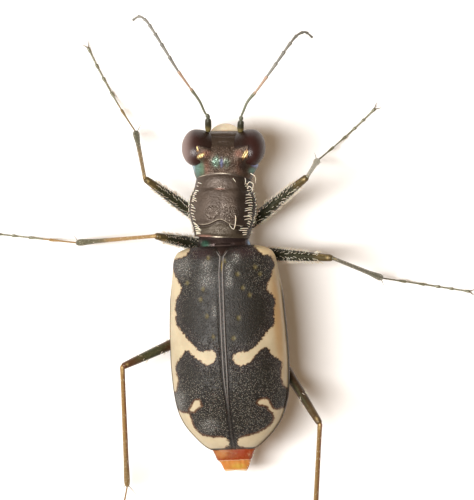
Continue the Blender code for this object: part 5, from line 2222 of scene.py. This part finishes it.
# Painted sheen patches on each wing case, and painted light at the left case's outer edge.
LEFT_SHEEN_PATCHES = (
    Mark("bloom", (0.6, 0.72), (0.25, 0.22)), Mark("bloom", (0.6, 1.32), (0.38, 0.32)),
    Mark("bloom", (0.35, 2.55), (0.12, 0.3)), Mark("bloom", (1.6, 0.75), (0.35, 0.45)),
    Mark("bloom", (2.0, 6.15), (0.35, 0.45)), Mark("bloom", (0.85, 7.15), (0.4, 0.3)),
)
RIGHT_SHEEN_PATCHES = (
    Mark("bloom", (0.28, 0.95), (0.13, 0.3)), Mark("bloom", (0.3, 1.45), (0.14, 0.25)),
    Mark("bloom", (0.55, 0.5), (0.2, 0.25)),
)

LEG_POSES = {
    "front_left": LegPose(
        (0.62, -4.72, 2.24), (0.72, -4.76, 1.88), (3.17, -6.52, 3.5), (3.56, -8.42, 1.0),
        (5.5, -11.84, 0.0), 0.1, tan=0.5, bow=0.085,
    ),
    "front_right": LegPose(
        (-0.52, -4.66, 2.28), (-0.84, -4.54, 1.95), (-3.33, -6.59, 3.9), (-3.76, -7.26, 1.05),
        (-6.09, -9.37, 0.0), 0.1, pallor=0.9, bow=-0.04,
    ),
    "middle_left": LegPose(
        (0.55, -3.3, 1.96), (0.7, -3.82, 1.72), (2.73, -4.22, 4.2), (5.94, -3.95, 1.1),
        (9.94, -4.39, 0.0), 0.05, tan=0.9,
    ),
    "middle_right": LegPose(
        (-0.65, -3.3, 2.03), (-0.85, -3.55, 1.75), (-4.34, -3.34, 4.0), (-6.36, -2.53, 0.8),
        (-9.93, -1.98, 0.0), 0.25, pallor=0.25,
    ),
    "hind_left": LegPose(
        (0.45, -0.85, 2.4), (0.55, -0.58, 1.58), (4.07, 1.01, 3.7), (3.9, 5.87, 1.3),
        (4.81, 10.47, 0.0), 0.42, tan=0.9, smooth=1.0, olive=0.85,
    ),
    "hind_right": LegPose(
        (-0.72, -0.95, 2.45), (-1.32, -0.75, 1.6), (-3.84, 3.3, 3.8), (-3.62, 8.02, 1.1),
        (-3.95, 12.98, 0.0), 0.35, tan=0.7, smooth=1.0, olive=0.1,
    ),
}

FEELER_PATHS = {
    Side.LEFT: (
        (0.63, -8.4, 3.62), (0.64, -8.98, 3.98), (0.75, -9.13, 4.08), (0.96, -9.58, 4.3),
        (1.37, -10.16, 4.5), (1.9, -10.91, 4.7), (2.3, -11.56, 4.8), (2.82, -12.4, 4.75),
        (3.14, -12.85, 4.6), (3.38, -12.99, 4.5), (3.66, -12.84, 4.3),
    ),
    Side.RIGHT: (
        (-0.65, -8.36, 3.66), (-0.69, -8.98, 4.05), (-0.78, -9.22, 4.2), (-0.92, -9.55, 4.3),
        (-1.3, -10.02, 4.45), (-1.79, -10.69, 4.65), (-2.22, -11.3, 4.75), (-2.6, -11.85, 4.7),
        (-2.98, -12.28, 4.5), (-3.22, -12.37, 4.35), (-3.55, -12.15, 4.1),
    ),
}


def build_fore_body() -> None:
    """Build the head, its eyes, mouth and feelers, and the prothorax."""
    bronze = HEAD_CUTICLE.make()
    leg = LEG_CUTICLE.make()
    lens = EYE_CUTICLE.make()
    feeler = ANTENNA_CUTICLE.make()
    jaw = JAW_CUTICLE.make()
    settle(Head().build(), bronze, "bronze_cuticle", "head")
    mouth = MouthParts()
    settle(mouth.lip(), LIP_CUTICLE.make(), "cream_cuticle", "labrum")
    for side in Side:
        label = side.label
        settle(Eye(side).build(), lens, "eye_facets", f"eye_{label}")
        settle(mouth.jaw(side), jaw, "jaw_cuticle", f"mandible_{label}")
        settle(mouth.palps(side), leg, "green_cuticle", f"palp_{label}")
        antenna = Antenna(side, FEELER_PATHS[side])
        settle(antenna.build(), feeler, "antenna_cuticle", f"antenna_{label}")
    settle(Pronotum().build(), PRONOTUM_CUTICLE.make(), "bronze_cuticle", "pronotum")


def build_hind_body() -> None:
    """Build the wing cases and all that lies below them."""
    left = WingCase(Side.LEFT, LEFT_DARK, LEFT_SPOT, LEFT_FOVEAE, LEFT_SHEEN_PATCHES, lean=1.0)
    # The right case lies on the shaded side; its painted edge shadow reaches further in.
    right = WingCase(Side.RIGHT, RIGHT_DARK, NO_SPOT, RIGHT_FOVEAE, RIGHT_SHEEN_PATCHES, amber=1.0,
                     hem=0.905)
    case = WING_CASE_CUTICLE.make()
    for wing in (left, right):
        settle(wing.build(), case, "wing_case_cuticle", f"elytron_{wing.side.label}")
    under = Underbody()
    hull = UNDERBODY_CUTICLE.make()
    settle(under.hull(left), hull, "green_cuticle", "thorax", "abdomen")
    settle(under.scutellum(), hull, "bronze_cuticle", "scutellum")
    settle(under.tail(), TAIL_CUTICLE.make(), "orange_cuticle", "abdomen_tip")


def build_legs() -> None:
    """Build the six legs with their claws, and every white bristle."""
    rng = np.random.default_rng(SEED)
    skin = LEG_CUTICLE.make()
    spine = SPINE_CUTICLE.make()
    white = WHITE_BRISTLE.make()
    fur = Bristles(rings=4)
    for column, (name, pose) in enumerate(LEG_POSES.items()):
        leg = Leg(name, pose, column)
        nodes = [f"leg_{name}_{part}" for part in ("femur", "tibia", "tarsus")]
        settle(leg.build(), skin, "leg_cuticle", *nodes)
        settle(leg.points(), spine, "leg_cuticle")
        leg.hairs(fur, rng)
    settle(fur.build("leg_bristles"), white, "cream_cuticle")
    fringe = Bristles(rings=4)
    Underbody().fringe(fringe, rng)
    settle(fringe.build("tail_fringe"), white, "cream_cuticle")
    comb = Bristles(rings=9, sides=6, blunt=0.35)
    prothorax = Pronotum()
    prothorax.comb(comb, rng)
    settle(comb.build("prothorax_bristles"), white, "cream_cuticle")
    settle(prothorax.stray(), white, "cream_cuticle")


def main() -> None:
    """Build every piece, then the studio."""
    logging.basicConfig(level=logging.INFO, format="%(message)s")
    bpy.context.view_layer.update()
    build_fore_body()
    build_hind_body()
    build_legs()
    Studio().build()
    bpy.context.view_layer.update()


if __name__ == "__main__":
    main()
